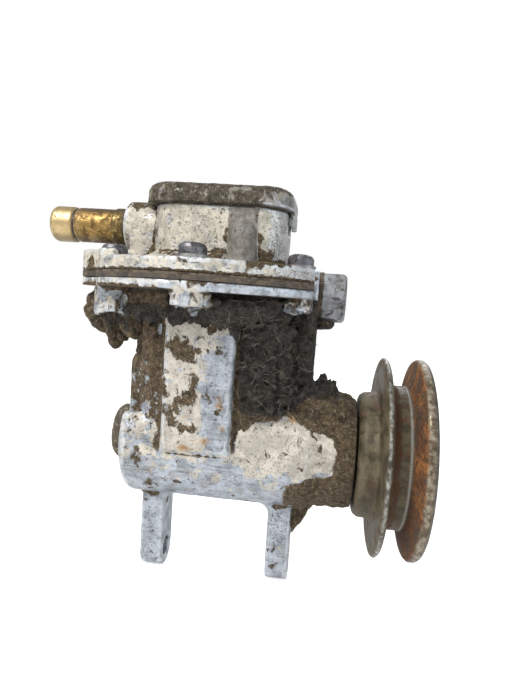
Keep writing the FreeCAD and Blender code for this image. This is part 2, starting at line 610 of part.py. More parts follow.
# ----------------------------------------------------------------------- lid
lid_blank = soften(
    "lid_round", box("lid_box", ("lid_left", "lid_right"), ("-23.5", "23.5"),
                     ("lid_low", "lid_low + lid_thickness")),
    13.5, lambda e: abs(e.BoundBox.ZMax - e.BoundBox.ZMin) > 5)
lid_soft = soften("lid_soft", lid_blank, 3.4, lambda e: e.BoundBox.ZMin > 150.4)
hood = cut("hood", box("hood_out", ("20", "lid_right"), ("-9", "9"), ("138", "lid_low + 1")),
           box("hood_in", ("19", "22.6"), ("-7.4", "7.4"), ("137", "lid_low + 2")))
lid_holes = [
    rod("lid_hole_%d" % i, "Z", "2.2", ("140", "152"), ("%s" % x, "%s" % y))
    for i, (x, y) in enumerate(LID_SCREWS)
] + [
    rod("lid_sink_%d" % i, "Z", "2.2", ("148", "lid_low + lid_thickness + 0.01"),
        ("%s" % x, "%s" % y), top="4.7")
    for i, (x, y) in enumerate(LID_SCREWS)
]
node(cut("lid", join("lid_joined", lid_soft, cut("hood_low", hood, box(
    "hood_clear", ("10", "22.3"), ("-30", "30"), ("130", "lid_low")))), *lid_holes), "head_lid")
lid_gasket_blank = cut(
    "lid_gasket_blank",
    soften("lid_gasket_round", box("lid_gasket_box", ("-29.6", "21.6"), ("-21", "21"),
                                   ("lid_low - 0.5", "lid_low")),
           12.6, lambda e: abs(e.BoundBox.ZMax - e.BoundBox.ZMin) > 0.3),
    box("lid_gasket_out", ("-26", "-6"), ("-10", "10"), ("140", "145")),
    box("lid_gasket_in", ("-2", "18"), ("-10", "10"), ("140", "145")),
    *[rod("lid_gasket_hole_%d" % i, "Z", "2.3", ("140", "145"), ("%s" % x, "%s" % y))
      for i, (x, y) in enumerate(LID_SCREWS)])
node(lid_gasket_blank, "lid_gasket")


def screw(outline, spots):
    """Copies of one turned screw, outline given as (radius, height) corners."""
    points = [V(r, 0, z) for r, z in outline]
    one = Part.Face(Part.makePolygon(points + points[:1])).revolve(V(), V(0, 0, 1), 360)
    copies = []
    for x, y, z in spots:
        copy = one.copy()
        copy.translate(V(x, y, z))
        copies.append(copy)
    return Part.makeCompound(copies)


top = S["head_flange_top"]
spots = [(x, y, top) for x, y in SCREWS]
slot_free = [(0, -13.6), (2.95, -13.6), (2.95, 1.1), (4.9, 1.1), (4.9, 3.4), (4.3, 4.5), (3.0, 5.1),
             (0, 5.3)]
flange_screws = screw(slot_free, spots)
slots = []
for n, (x, y, z) in enumerate(spots):
    slot = Part.makeBox(12, 1.3, 2, V(-6, -0.65, 0))
    slot.rotate(V(), V(0, 0, 1), 37 * n + 12)
    slot.translate(V(x, y, z + 4.1))
    slots.append(slot)
node(fixed("flange_screw_set", flange_screws.cut(Part.makeCompound(slots))), "flange_screws")
node(fixed("washer_set", screw(
    [(3.15, 0), (5.7, 0), (5.7, 1.0), (5.2, 1.1), (3.15, 1.1)],
    spots)), "flange_washers")
lid_top = S["lid_low"] + S["lid_thickness"]
lid_screws = screw(
    [(0, -15.5), (1.95, -15.5), (1.95, -2.35), (4.3, -0.1), (4.3, 0), (0, 0)],
    [(x, y, lid_top - 0.1) for x, y in LID_SCREWS])
lid_slots = [Part.makeBox(10, 1.0, 1.2, V(x - 5, y - 0.5, lid_top - 1.2)) for x, y in LID_SCREWS]
node(fixed("lid_screw_set", lid_screws.cut(Part.makeCompound(lid_slots))), "lid_screws")

# ------------------------------------------------------------ hose tail, plug
node(turned("tail", "X", [
    ("-39.5", "tail_bore"), ("-39.5", "6.9"), ("-44.5", "6.9"), ("-44.5", "collar_radius"),
    ("tail_collar + 0.4", "collar_radius"), ("tail_collar", "tail_pipe_radius"),
    ("tail_end + 11.3", "tail_pipe_radius"), ("tail_end + 10.9", "6.75"),
    ("tail_end + 9.7", "6.75"), ("tail_end + 9.3", "bead_radius"), ("tail_end + 1.6", "bead_radius"),
    ("tail_end + 0.4", "6.7"), ("tail_end", "5.8"), ("tail_end", "tail_bore")], z="tail_axis"), "hose_tail")

plug_hex = hexagon("plug_hex", "X", "plug_flats", ("37.4", "46.6"), ("0", "plug_axis"))
plug_dome = turned("plug_dome", "X", [
    ("37.4", "0.0"), ("37.4", "10.4"), ("38.2", "11.6"), ("44.4", "11.6"), ("46.6", "8.6"),
    ("46.6", "0.0")], z="plug_axis")
plug_head = common("plug_head", plug_hex, plug_dome)
node(join("plug_part", plug_head, rod("plug_stem", "X", "5.9", ("31", "38"), ("0", "plug_axis"))),
     "filler_plug")
node(ring("plug_seal", "X", "6.2", "10.2", ("35.8", "37.4"), ("0", "plug_axis")), "plug_washer")

# -------------------------------------------------------------------- pulley
hub = turned("hub_blank", "X", [
    ("hub_left", "shaft_radius"), ("hub_left", "hub_radius - 2"), ("hub_left + 2", "hub_radius"),
    ("62.9", "hub_radius"), ("62.9", "37.6"), ("63.4", "pulley_radius - 0.7"),
    ("64.3", "pulley_radius"), ("65.3", "pulley_radius - 0.7"), ("65.7", "38.6"),
    ("67.6", "groove_floor"), ("74", "groove_floor"), ("74", "24"), ("64.5", "23"), ("64.5", "13"),
    ("74", "12.4"), ("74", "shaft_radius")], z="shaft_height")
hub_key = box("hub_key", ("50", "68.3"), ("-2.02", "2.02"), ("shaft_height", "shaft_height + 9.4"))
node(cut("hub_half", hub, hub_key), "pulley_hub_half")
node(turned("outer_half", "X", [
    ("74", "shaft_radius + 0.02"), ("74", "29.2"), ("76.4", "38.4"), ("76.4", "pulley_radius - 0.9"),
    ("77.4", "pulley_radius"), ("79.6", "pulley_radius"), ("80.7", "pulley_radius - 1"),
    ("80.7", "38"), ("77", "26"), ("77", "shaft_radius + 0.02")], z="shaft_height"), "pulley_outer_half")
node(ring("lock", "X", "6.2", "11", ("77", "78.6"), SHAFT), "pulley_lock_washer")
nut_hex = hexagon("nut_hex", "X", "19", ("78.6", "84.8"), SHAFT)
nut_round = turned("nut_round", "X", [
    ("78.6", "0.0"), ("78.6", "10.1"), ("79.2", "11.1"), ("84.2", "11.1"), ("84.8", "10.1"),
    ("84.8", "0.0")], z="shaft_height")
node(cut("nut", common("nut_body", nut_hex, nut_round),
         rod("nut_bore", "X", "6.05", ("78", "86"), SHAFT)), "pulley_nut")

# -------------------------------------------------------------------- export
doc.recompute()
for obj in doc.Objects:
    if any(word in ("Invalid", "Error") for word in obj.State):
        raise RuntimeError("%s failed: %s" % (obj.Label, obj.State))
for label, obj in NODES:
    shape = obj.Shape
    if shape.isNull() or not shape.isValid() or shape.Volume <= 0:
        raise RuntimeError("bad shape: " + label)
    shape.exportStep("parts/%s.step" % label)
    box_ = shape.BoundBox
    print("%-24s solids %2d volume %10.1f  x %7.2f %7.2f  y %7.2f %7.2f  z %7.2f %7.2f" % (
        label, len(shape.Solids), shape.Volume, box_.XMin, box_.XMax, box_.YMin, box_.YMax,
        box_.ZMin, box_.ZMax))
print("nodes", len(NODES))
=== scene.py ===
# %% [markdown]
# A small belt-driven diaphragm air compressor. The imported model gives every
# piece its size and place; this lesson gives them a worn, greasy surface.
# Everything is in metres, with the pivot bore at the origin, the shaft along
# X and the valve head up Z.

# %% Load the frame and keep its box
import math
import bpy
import numpy as np
from mathutils import Matrix, Vector


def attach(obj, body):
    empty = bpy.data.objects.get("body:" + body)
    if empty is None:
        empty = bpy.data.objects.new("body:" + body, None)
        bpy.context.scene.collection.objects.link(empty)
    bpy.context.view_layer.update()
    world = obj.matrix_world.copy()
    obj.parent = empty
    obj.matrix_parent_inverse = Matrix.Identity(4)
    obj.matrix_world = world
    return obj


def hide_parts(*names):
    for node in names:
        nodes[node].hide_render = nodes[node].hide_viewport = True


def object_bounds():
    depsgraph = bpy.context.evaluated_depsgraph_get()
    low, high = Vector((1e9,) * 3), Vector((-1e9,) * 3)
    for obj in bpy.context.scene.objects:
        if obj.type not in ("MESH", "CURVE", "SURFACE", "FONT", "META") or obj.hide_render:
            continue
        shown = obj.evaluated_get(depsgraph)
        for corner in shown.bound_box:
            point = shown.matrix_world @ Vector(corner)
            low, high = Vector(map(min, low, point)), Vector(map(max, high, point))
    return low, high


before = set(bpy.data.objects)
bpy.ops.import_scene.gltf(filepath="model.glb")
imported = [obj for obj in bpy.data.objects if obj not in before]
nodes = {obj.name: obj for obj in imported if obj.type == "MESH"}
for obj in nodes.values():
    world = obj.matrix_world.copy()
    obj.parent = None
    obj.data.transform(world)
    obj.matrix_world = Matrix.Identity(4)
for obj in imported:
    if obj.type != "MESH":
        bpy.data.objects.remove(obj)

cad_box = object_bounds()
print("CAD nodes:", len(nodes), "box:", cad_box)

# %% [markdown]
# The camera stands a hand's breadth away, a little above the shaft and turned
# slightly towards the pulley, so the near flange of the pulley shows its rim.

# %% Camera
YAW, PITCH, ROLL = (math.radians(a) for a in (6.252, 5.009, 3.927))
turn_z = Matrix.Rotation(-YAW, 3, "Z")
turn_x = Matrix.Rotation(PITCH, 3, "X")
turn_y = Matrix.Rotation(ROLL, 3, "Y")
to_camera = turn_y @ turn_x @ turn_z
right, ahead, up = (Vector(row) for row in to_camera)
pose = Matrix((right, up, -ahead)).transposed().to_4x4()
pose.translation = (0.0380, -0.2159, 0.1073)
camera = bpy.data.objects.new("camera", bpy.data.cameras.new("camera"))
bpy.context.collection.objects.link(camera)
camera.matrix_world = pose
camera.data.lens = 27.05
camera.data.sensor_width = 36.0
camera.data.clip_start = 0.005
bpy.context.scene.camera = camera

# %% [markdown]
# A pale floor that runs into a white surround, one large soft lamp in front and
# above, and a weaker one on each side, as in a small product tent. The surround
# looks white to the camera but lights the metal less, so dark dirt stays dark;
# Light Path tells the two apart.

# %% Floor, surround and lamps
scene = bpy.context.scene
scene.view_settings.view_transform = "Standard"
WHITE = (1.0, 1.0, 1.0, 1.0)


def only_seen(tree, seen, lit):
    """A strength that is seen for the camera's own rays and lit for all others."""
    path = tree.nodes.new("ShaderNodeLightPath")
    mix = tree.nodes.new("ShaderNodeMix")
    tree.links.new(path.outputs["Is Camera Ray"], mix.inputs["Factor"])
    mix.inputs["A"].default_value = lit
    mix.inputs["B"].default_value = seen
    return mix.outputs["Result"]


world = bpy.data.worlds.new("tent")
scene.world = world
world.use_nodes = True
surround = world.node_tree.nodes["Background"]
surround.inputs["Color"].default_value = WHITE
world.node_tree.links.new(only_seen(world.node_tree, 1.0, 0.46), surround.inputs["Strength"])

FLOOR = cad_box[0][2]
floor_mesh = bpy.data.meshes.new("floor")
floor_mesh.from_pydata(
    [(-3, -3, FLOOR), (3, -3, FLOOR), (3, 3, FLOOR), (-3, 3, FLOOR)], [], [(0, 1, 2, 3)])
floor = bpy.data.objects.new("floor", floor_mesh)
bpy.context.collection.objects.link(floor)
pale = bpy.data.materials.new("pale_floor")
pale.use_nodes = True
paper = pale.node_tree.nodes["Principled BSDF"]
paper.inputs["Base Color"].default_value = (0.92, 0.92, 0.92, 1.0)
paper.inputs["Roughness"].default_value = 0.9
paper.inputs["Emission Color"].default_value = WHITE
pale.node_tree.links.new(only_seen(pale.node_tree, 0.62, 0.12), paper.inputs["Emission Strength"])
floor.data.materials.append(pale)


def lamp(name, where, aim, size, power, tint=(1.0, 1.0, 1.0)):
    """A square lamp at a place, turned towards its aim."""
    data = bpy.data.lights.new(name, "AREA")
    data.size = size
    data.energy = power
    data.color = tint
    obj = bpy.data.objects.new(name, data)
    obj.location = where
    obj.rotation_euler = (Vector(aim) - Vector(where)).to_track_quat("-Z", "Y").to_euler()
    bpy.context.collection.objects.link(obj)


MIDDLE = (0.0, 0.0, 0.07)
lamp("front_lamp", (-0.30, -0.45, 0.60), MIDDLE, 0.35, 4.9, (1.0, 0.97, 0.93))
lamp("right_lamp", (0.6, -0.25, 0.35), MIDDLE, 0.3, 1.1, (0.86, 0.93, 1.0))
lamp("back_lamp", (0.1, 0.6, 0.5), MIDDLE, 0.5, 2.0)

# %% [markdown]
# Cast metal, caked mud and dents are never regular. All the unevenness below
# comes from one kind of noise: random numbers on a cubic lattice, blended
# smoothly between the lattice corners, in several sizes added together.

# %% Noise on arrays of points
MM = 0.001
SHAFT_HEIGHT = 49.0   # mm above the pivot bore
HEAD_MIDDLE = -7.0    # mm along the shaft
SCREW_CIRCLE = 41.0   # mm, radius of the six flange screws
TAIL_HEIGHT = 135.2   # mm, middle of the hose tail
FLANGE_FLOOR = 109.5  # mm, underside of the crankcase flange
SKEW = np.array(
    Matrix.Rotation(0.7, 3, "X") @ Matrix.Rotation(0.5, 3, "Y") @ Matrix.Rotation(1.1, 3, "Z"))


def lattice_noise(points, cell, seed):
    """Random values at the corners of cubes of side cell, blended inside each
    cube with the curve 3t^2 - 2t^3; the result runs from -1 to 1. The cubes
    are turned askew, so their rows don't show on a straight edge."""
    q = points @ SKEW / cell + 31.7 * seed
    base = np.floor(q).astype(np.int64)
    t = q - base
    t = t * t * (3 - 2 * t)
    total = np.zeros(len(points))
    for corner in range(8):
        step = np.array([corner & 1, corner >> 1 & 1, corner >> 2 & 1])
        n = (base + step) & 0xFFFF
        h = (n[:, 0] * 73856093) ^ (n[:, 1] * 19349663) ^ (n[:, 2] * 83492791) ^ (seed * 2654435)
        h = ((h ^ (h >> 13)) * 1274126177) & 0x7FFFFFFF
        value = ((h ^ (h >> 16)) & 0xFFFF) / 32767.5 - 1
        total += value * np.prod(np.where(step, t, 1 - t), axis=1)
    return total


def layered_noise(points, cell, seed, layers=3):
    """Lattice noise at cell, half cell, quarter cell..., each half as strong."""
    return sum(lattice_noise(points, cell / 2 ** k, seed + k) / 2 ** k for k in range(layers))


def ramp(value, low, high):
    """0 below low, 1 above high, and the smooth curve 3t^2 - 2t^3 between."""
    t = np.clip((value - low) / (high - low), 0, 1)
    return t * t * (3 - 2 * t)


# %% [markdown]
# A shape already right in the frame gets a skin: a copy of it, rebuilt as an
# even net of small faces, which can then be moved point by point. A lathe
# profile needs no copy: it is turned straight into a surface.

# %% Placing a mesh
import bmesh


def new_piece(name, mesh):
    """An object at the origin that shows the mesh, in the scene."""
    obj = bpy.data.objects.new(name, mesh)
    bpy.context.collection.objects.link(obj)
    return obj


def face_outwards(mesh):
    """Turns every face of a closed mesh outwards."""
    net = bmesh.new()
    net.from_mesh(mesh)
    bmesh.ops.recalc_face_normals(net, faces=net.faces)
    net.to_mesh(mesh)
    net.free()


# %% [markdown]
# A skin starts as a copy of the frame piece. Its loose corners are merged, and
# the Remesh modifier lays an even net over it, fine enough to carry dirt.

# %% Skins over frame pieces
def skin(node, name, voxel):
    """An even net over a copy of a frame piece, with its corners merged first."""
    mesh = nodes[node].data.copy()
    net = bmesh.new()
    net.from_mesh(mesh)
    bmesh.ops.remove_doubles(net, verts=net.verts, dist=2e-6)
    net.to_mesh(mesh)
    net.free()
    source = new_piece(name + "_source", mesh)
    remesh = source.modifiers.new("net", "REMESH")
    remesh.mode = "VOXEL"
    remesh.voxel_size = voxel
    ready = source.evaluated_get(bpy.context.evaluated_depsgraph_get())
    made = bpy.data.meshes.new_from_object(ready)
    bpy.data.objects.remove(source)
    made.materials.clear()
    obj = new_piece(name, made)
    made.shade_smooth()
    print(name, "faces", len(made.polygons))
    return obj


def points_of(obj):
    """Corner positions in millimetres and unit normals, as arrays."""
    mesh = obj.data
    where = np.empty(3 * len(mesh.vertices))
    facing = np.empty(3 * len(mesh.vertices))
    mesh.vertices.foreach_get("co", where)
    mesh.vertex_normals.foreach_get("vector", facing)
    return where.reshape(-1, 3) / MM, facing.reshape(-1, 3)


def move_points(obj, where):
    """Writes positions in millimetres back, held inside the frame's box."""
    low, high = (np.array(c) / MM + s for c, s in zip(cad_box, (0.02, -0.02)))
    obj.data.vertices.foreach_set("co", (np.clip(where, low, high) * MM).ravel())
    obj.data.update()


def paint(obj, name, value):
    """Stores one number per corner for the material to read."""
    layer = obj.data.attributes.new(name, "FLOAT", "POINT")
    layer.data.foreach_set("value", np.clip(value, 0, 1).astype(np.float32))


def hollowness(obj, where, facing, rounds=14):
    """How far each corner lies below the average of its neighbours after some
    rounds of averaging, in millimetres: above 0 in a fillet, below 0 on an edge."""
    mesh = obj.data
    edges = np.empty(2 * len(mesh.edges), dtype=np.int64)
    mesh.edges.foreach_get("vertices", edges)
    a, b = edges.reshape(-1, 2).T
    count = np.bincount(a, minlength=len(where)) + np.bincount(b, minlength=len(where))
    soft = where.copy()
    for _ in range(rounds):
        total = np.stack([
            np.bincount(a, soft[b, k], len(where)) + np.bincount(b, soft[a, k], len(where))
            for k in range(3)], axis=1)
        soft = total / np.maximum(count, 1)[:, None]
    return np.sum((soft - where) * facing, axis=1)


# %% [markdown]
# A turned part can be made with the Screw modifier. Working its grid out here
# instead lets noise dent it, and keeps its corners where the profile has them.

# %% Turned surfaces
def softened(outline, cut=0.25, step=1.2):
    """A closed outline with each corner cut twice near its tip and each run
    divided so that no step is longer than step."""
    pts = np.array(outline, dtype=float)
    for share in (1.0, 0.35):
        following = np.roll(pts, -1, axis=0)
        run = np.linalg.norm(following - pts, axis=1)[:, None]
        part = np.minimum(cut * share / np.maximum(run, 1e-6), 0.3)
        pts = np.stack(
            [pts + (following - pts) * part, following - (following - pts) * part], axis=1
        ).reshape(-1, 2)
    following = np.roll(pts, -1, axis=0)
    parts = np.maximum(1, np.ceil(np.linalg.norm(following - pts, axis=1) / step)).astype(int)
    which = np.repeat(np.arange(len(pts)), parts)
    along = np.concatenate([np.arange(n) / n for n in parts])[:, None]
    return pts[which] + (following[which] - pts[which]) * along


def turned(name, outline, height, body, around=192, dent=0.0, seed=1, cut=0.25):
    """The outline (x, radius) carried round an axis along X at a height: each
    point goes to (x, radius cos a, height + radius sin a), then in or out by noise."""
    profile = softened(outline, cut)
    angle = np.linspace(0, 2 * np.pi, around, endpoint=False)
    x = np.repeat(profile[:, 0][None, :], around, axis=0)
    r = np.repeat(profile[:, 1][None, :], around, axis=0)
    grid = np.stack([x, r * np.cos(angle)[:, None], height + r * np.sin(angle)[:, None]], axis=2)
    flat = grid.reshape(-1, 3)
    out = flat - np.array([0, 0, height])
    out[:, 0] = 0
    out /= np.maximum(np.linalg.norm(out, axis=1), 1e-6)[:, None]
    if dent:
        flat = flat + out * (dent * (layered_noise(flat, 6.0, seed) - 1.2))[:, None]
    wide = len(profile)
    i, j = np.meshgrid(np.arange(around), np.arange(wide), indexing="ij")
    i2, j2 = (i + 1) % around, (j + 1) % wide
    faces = np.stack(
        [i * wide + j, i * wide + j2, i2 * wide + j2, i2 * wide + j], axis=2).reshape(-1, 4)
    mesh = bpy.data.meshes.new(name)
    mesh.from_pydata((flat * MM).tolist(), [], faces.tolist())
    mesh.shade_smooth()
    face_outwards(mesh)
    obj = new_piece(name, mesh)
    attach(obj, body)
    print(name, "faces", len(mesh.polygons))
    return obj


# %% [markdown]
# The finishes share a few effects, each a node group: fine cast grain, a
# patch with a crisp ragged edge, and long scratches. They take a position and
# give back masks and heights; each material mixes its own colours with them.

# %% Node helpers
def new_group(name, takes, gives):
    """A shader node group with named number or vector inputs and outputs."""
    tree = bpy.data.node_groups.new(name, "ShaderNodeTree")
    for label, kind, start in takes:
        socket = tree.interface.new_socket(label, in_out="INPUT", socket_type="NodeSocket" + kind)
        if start is not None:
            socket.default_value = start
    for label, kind in gives:
        tree.interface.new_socket(label, in_out="OUTPUT", socket_type="NodeSocket" + kind)
    return tree, tree.nodes.new("NodeGroupInput"), tree.nodes.new("NodeGroupOutput")


def feed(tree, socket, value):
    """Links an output to a socket, or sets the socket's number or colour."""
    if isinstance(value, bpy.types.NodeSocket):
        tree.links.new(value, socket)
    else:
        socket.default_value = value


def calc(tree, operation, a, b=0.0):
    """One sum on numbers or outputs."""
    node = tree.nodes.new("ShaderNodeMath")
    node.operation = operation
    feed(tree, node.inputs[0], a)
    feed(tree, node.inputs[1], b)
    return node.outputs[0]


def times(tree, a, b):
    """a * b, which also makes a mask weaker."""
    return calc(tree, "MULTIPLY", a, b)


def plus(tree, a, b):
    """a + b, for heights laid on each other."""
    return calc(tree, "ADD", a, b)


def other_than(tree, mask):
    """1 - mask: everywhere that the mask isn't."""
    return calc(tree, "SUBTRACT", 1.0, mask)


def noise(tree, at, scale, detail=4.0, rough=0.55, twist=0.0):
    node = tree.nodes.new("ShaderNodeTexNoise")
    feed(tree, node.inputs["Vector"], at)
    feed(tree, node.inputs["Scale"], scale)
    node.inputs["Detail"].default_value = detail
    node.inputs["Roughness"].default_value = rough
    node.inputs["Distortion"].default_value = twist
    return node.outputs["Fac"]


def stretch(tree, at, sizes, turn=(0, 0, 0)):
    node = tree.nodes.new("ShaderNodeMapping")
    feed(tree, node.inputs["Vector"], at)
    node.inputs["Scale"].default_value = sizes
    node.inputs["Rotation"].default_value = turn
    return node.outputs["Vector"]


def smooth_step(tree, value, low, high):
    node = tree.nodes.new("ShaderNodeMapRange")
    node.interpolation_type = "SMOOTHSTEP"
    feed(tree, node.inputs["Value"], value)
    feed(tree, node.inputs["From Min"], low)
    feed(tree, node.inputs["From Max"], high)
    return node.outputs["Result"]


def blend_colour(tree, mask, a, b):
    node = tree.nodes.new("ShaderNodeMix")
    node.data_type = "RGBA"
    feed(tree, node.inputs["Factor"], mask)
    feed(tree, node.inputs["A"], a)
    feed(tree, node.inputs["B"], b)
    return node.outputs["Result"]


def blend_value(tree, mask, a, b):
    node = tree.nodes.new("ShaderNodeMix")
    feed(tree, node.inputs["Factor"], mask)
    feed(tree, node.inputs["A"], a)
    feed(tree, node.inputs["B"], b)
    return node.outputs["Result"]


def clouds(tree, at, low, high, *grain):
    """A noise cut into soft patches: 0 below low and 1 above high."""
    return smooth_step(tree, noise(tree, at, *grain), low, high)


def lay(tree, base, mask, share, tint):
    """A colour laid on the base where the mask is, at a share of full strength."""
    return blend_colour(tree, times(tree, mask, share), base, tint)


def use(tree, group, **values):
    """Places a group and sets its inputs; an input's name has _ for a space."""
    node = tree.nodes.new("ShaderNodeGroup")
    node.node_tree = group
    for label, value in values.items():
        feed(tree, node.inputs[label.replace("_", " ")], value)
    return node.outputs


# %% [markdown]
# Sand leaves small pits in a casting. One fine noise gives the pits, and one
# five times as broad changes the tone from place to place.

# %% Cast grain
cast_grain, given, result = new_group(
    "cast_grain", [("Position", "Vector", None), ("Size", "Float", 900.0)],
    [("Pits", "Float"), ("Tone", "Float"), ("Height", "Float")])
t = cast_grain
fine = noise(t, given.outputs["Position"], given.outputs["Size"], 5.0, 0.7)
broad = noise(t, given.outputs["Position"], times(t, given.outputs["Size"], 0.18), 5.0, 0.6)
t.links.new(smooth_step(t, fine, 0.57, 0.66), result.inputs["Pits"])
t.links.new(broad, result.inputs["Tone"])
t.links.new(plus(t, fine, times(t, broad, 0.8)), result.inputs["Height"])

# %% [markdown]
# Dirt and flaking oxide end in crisp, torn edges. A noise is added to the
# amount of the layer, and a steep step turns the sum into a mask and its rim.

# %% Ragged patch
ragged_patch, given, result = new_group(
    "ragged_patch",
    [("Position", "Vector", None), ("Amount", "Float", 0.5), ("Size", "Float", 250.0),
     ("Ragged", "Float", 1.6), ("Edge", "Float", 0.03)],
    [("Mask", "Float"), ("Rim", "Float")])
t = ragged_patch
cloud = noise(t, given.outputs["Position"], given.outputs["Size"], 7.0, 0.62, 0.4)
offset = times(t, calc(t, "SUBTRACT", cloud, 0.5), given.outputs["Ragged"])
level = plus(t, given.outputs["Amount"], offset)
low = calc(t, "SUBTRACT", 0.5, given.outputs["Edge"])
high = plus(t, 0.5, given.outputs["Edge"])
t.links.new(smooth_step(t, level, low, high), result.inputs["Mask"])
near = calc(t, "ABSOLUTE", calc(t, "SUBTRACT", level, 0.48))
t.links.new(other_than(t, smooth_step(t, near, 0.0, 0.09)), result.inputs["Rim"])

# %% [markdown]
# A scratch is a noise stretched twenty times along one direction. Three
# directions are laid over each other, as a scraper leaves them.

# %% Long scratches
long_scratches, given, result = new_group(
    "long_scratches", [("Position", "Vector", None), ("Density", "Float", 0.5)],
    [("Mask", "Float"), ("Dark", "Float")])
t = long_scratches
ALONG = [((0.05, 1, 1), (0, 0.04, 0)), ((0.10, 1, 1), (0, -0.5, 0)), ((0.09, 1, 1), (0, 0.9, 0))]
lines = [
    noise(t, stretch(t, given.outputs["Position"], *along), 1500.0, 2.0, 0.5) for along in ALONG]
first, second, third = (smooth_step(t, line, 0.60, 0.67) for line in lines)
bright = calc(t, "MAXIMUM", calc(t, "MAXIMUM", first, second), third)
filled = smooth_step(t, lines[0], 0.41, 0.34)
t.links.new(times(t, bright, given.outputs["Density"]), result.inputs["Mask"])
t.links.new(times(t, filled, given.outputs["Density"]), result.inputs["Dark"])
print("effects:", cast_grain.name, ragged_patch.name, long_scratches.name)

# %% [markdown]
# Every material below starts the same way: a Principled shader, the piece's own
# Object coordinates, and a bump fed by one height.

# %% Starting a material
def start(name):
    """A material with its shader, its position and room for a bump."""
    material = bpy.data.materials.new(name)
    material.use_nodes = True
    tree = material.node_tree
    shader = tree.nodes["Principled BSDF"]
    place = tree.nodes.new("ShaderNodeTexCoord").outputs["Object"]
    return material, tree, shader, place


def bump(tree, shader, height, depth, strength=1.0):
    node = tree.nodes.new("ShaderNodeBump")
    node.inputs["Strength"].default_value = strength
    node.inputs["Distance"].default_value = depth
    feed(tree, node.inputs["Height"], height)
    tree.links.new(node.outputs["Normal"], shader.inputs["Normal"])


def painted(tree, name):
    node = tree.nodes.new("ShaderNodeAttribute")
    node.attribute_name = name
    return node.outputs["Fac"]


def colour(r, g, b):
    return (r, g, b, 1.0)


# %% [markdown]
# The castings carry four layers, from the inside out: bare silvery metal, a
# cream oxide skin that flakes off in crisp patches, dry brown mud, and black
# grease with fluff in it. Numbers stored on the skins say where each is thick.

# %% Bare metal under an oxide skin
def shaded(tint, share):
    """A colour made brighter or darker by a share."""
    return colour(*(share * c for c in tint))


def metal_and_skin(tree, place, grain, flake, tone, bare, oxide, scratch):
    """Pitted, scratched metal, with the cream skin over it where flake says."""
    fine = use(tree, cast_grain, Position=place, Size=2300.0)
    lines = use(tree, long_scratches, Position=place, Density=scratch)
    metal = blend_colour(tree, tone, shaded(bare, 0.55), shaded(bare, 1.0))
    metal = lay(tree, metal, grain["Pits"], 0.8, colour(0.07, 0.062, 0.05))
    metal = blend_colour(tree, lines["Mask"], metal, colour(0.72, 0.73, 0.74))
    metal = blend_colour(tree, lines["Dark"], metal, colour(0.12, 0.105, 0.085))
    cream = blend_colour(tree, tone, shaded(oxide, 0.66), shaded(oxide, 1.0))
    cream = lay(tree, cream, grain["Pits"], 0.7, colour(0.12, 0.085, 0.05))
    base = blend_colour(tree, flake["Mask"], metal, cream)
    return lay(tree, base, fine["Pits"], 0.75, colour(0.075, 0.06, 0.045))


def rubbed_and_stained(tree, place, grain, tone, rib, base):
    """Bright rubbed edges, a dark machined rib and rust stains laid on the base."""
    rubbed = plus(tree, painted(tree, "edge"), times(tree, grain["Tone"], 0.5))
    broken = clouds(tree, place, 0.40, 0.58, 260.0, 6.0, 0.7)
    worn = times(tree, smooth_step(tree, rubbed, 0.82, 1.05), times(tree, broken, 0.75))
    base = blend_colour(tree, worn, base, colour(0.64, 0.68, 0.73))
    rib_tone = blend_colour(
        tree, clouds(tree, place, 0.35, 0.65, 380.0, 6.0, 0.65), colour(0.10, 0.088, 0.07),
        colour(0.24, 0.225, 0.20))
    base = lay(tree, base, rib, 0.9, rib_tone)
    rust = use(
        tree, ragged_patch, Position=place, Amount=painted(tree, "rust"), Size=520.0, Ragged=1.1,
        Edge=0.2)
    rust_tone = blend_colour(tree, tone, colour(0.30, 0.135, 0.03), colour(0.50, 0.33, 0.14))
    return lay(tree, base, rust["Mask"], 0.85, rust_tone)


# %% [markdown]
# Dry mud is brown with pale crumbs and dark gaps. Grease is nearly black, with
# ash-coloured fluff caught in it, so each gets its own mix of three noises.

# %% Mud and grease colours
def mud_colour(tree, place, speck, crumb, mud):
    """Brown specks, then pale crumbs, then dark gaps."""
    tint = blend_colour(tree, speck, shaded(mud, 0.35), shaded(mud, 1.5))
    tint = lay(tree, tint, crumb, 0.8, colour(0.42, 0.37, 0.28))
    gap = clouds(tree, place, 0.46, 0.36, 340.0, 5.0, 0.7)
    return lay(tree, tint, gap, 0.75, colour(0.026, 0.018, 0.010))


def grease_colour(tree, place, cake, fluff, crumb, grease):
    """Black cake, with ash on the fluff and on the crumbs."""
    tint = blend_colour(
        tree, smooth_step(tree, cake, 0.38, 0.66), shaded(grease, 0.5), shaded(grease, 3.0))
    ash = blend_colour(
        tree, clouds(tree, place, 0.42, 0.58, 90.0, 3.0, 0.5), shaded(grease, 9.0),
        colour(0.27, 0.215, 0.15))
    tint = blend_colour(tree, smooth_step(tree, fluff, 0.56, 0.76), tint, ash)
    return lay(tree, tint, crumb, 0.55, ash)


# %% [markdown]
# The casting puts the layers together. The same masks that mix the colours also
# set how metallic, how rough and how high each place is.

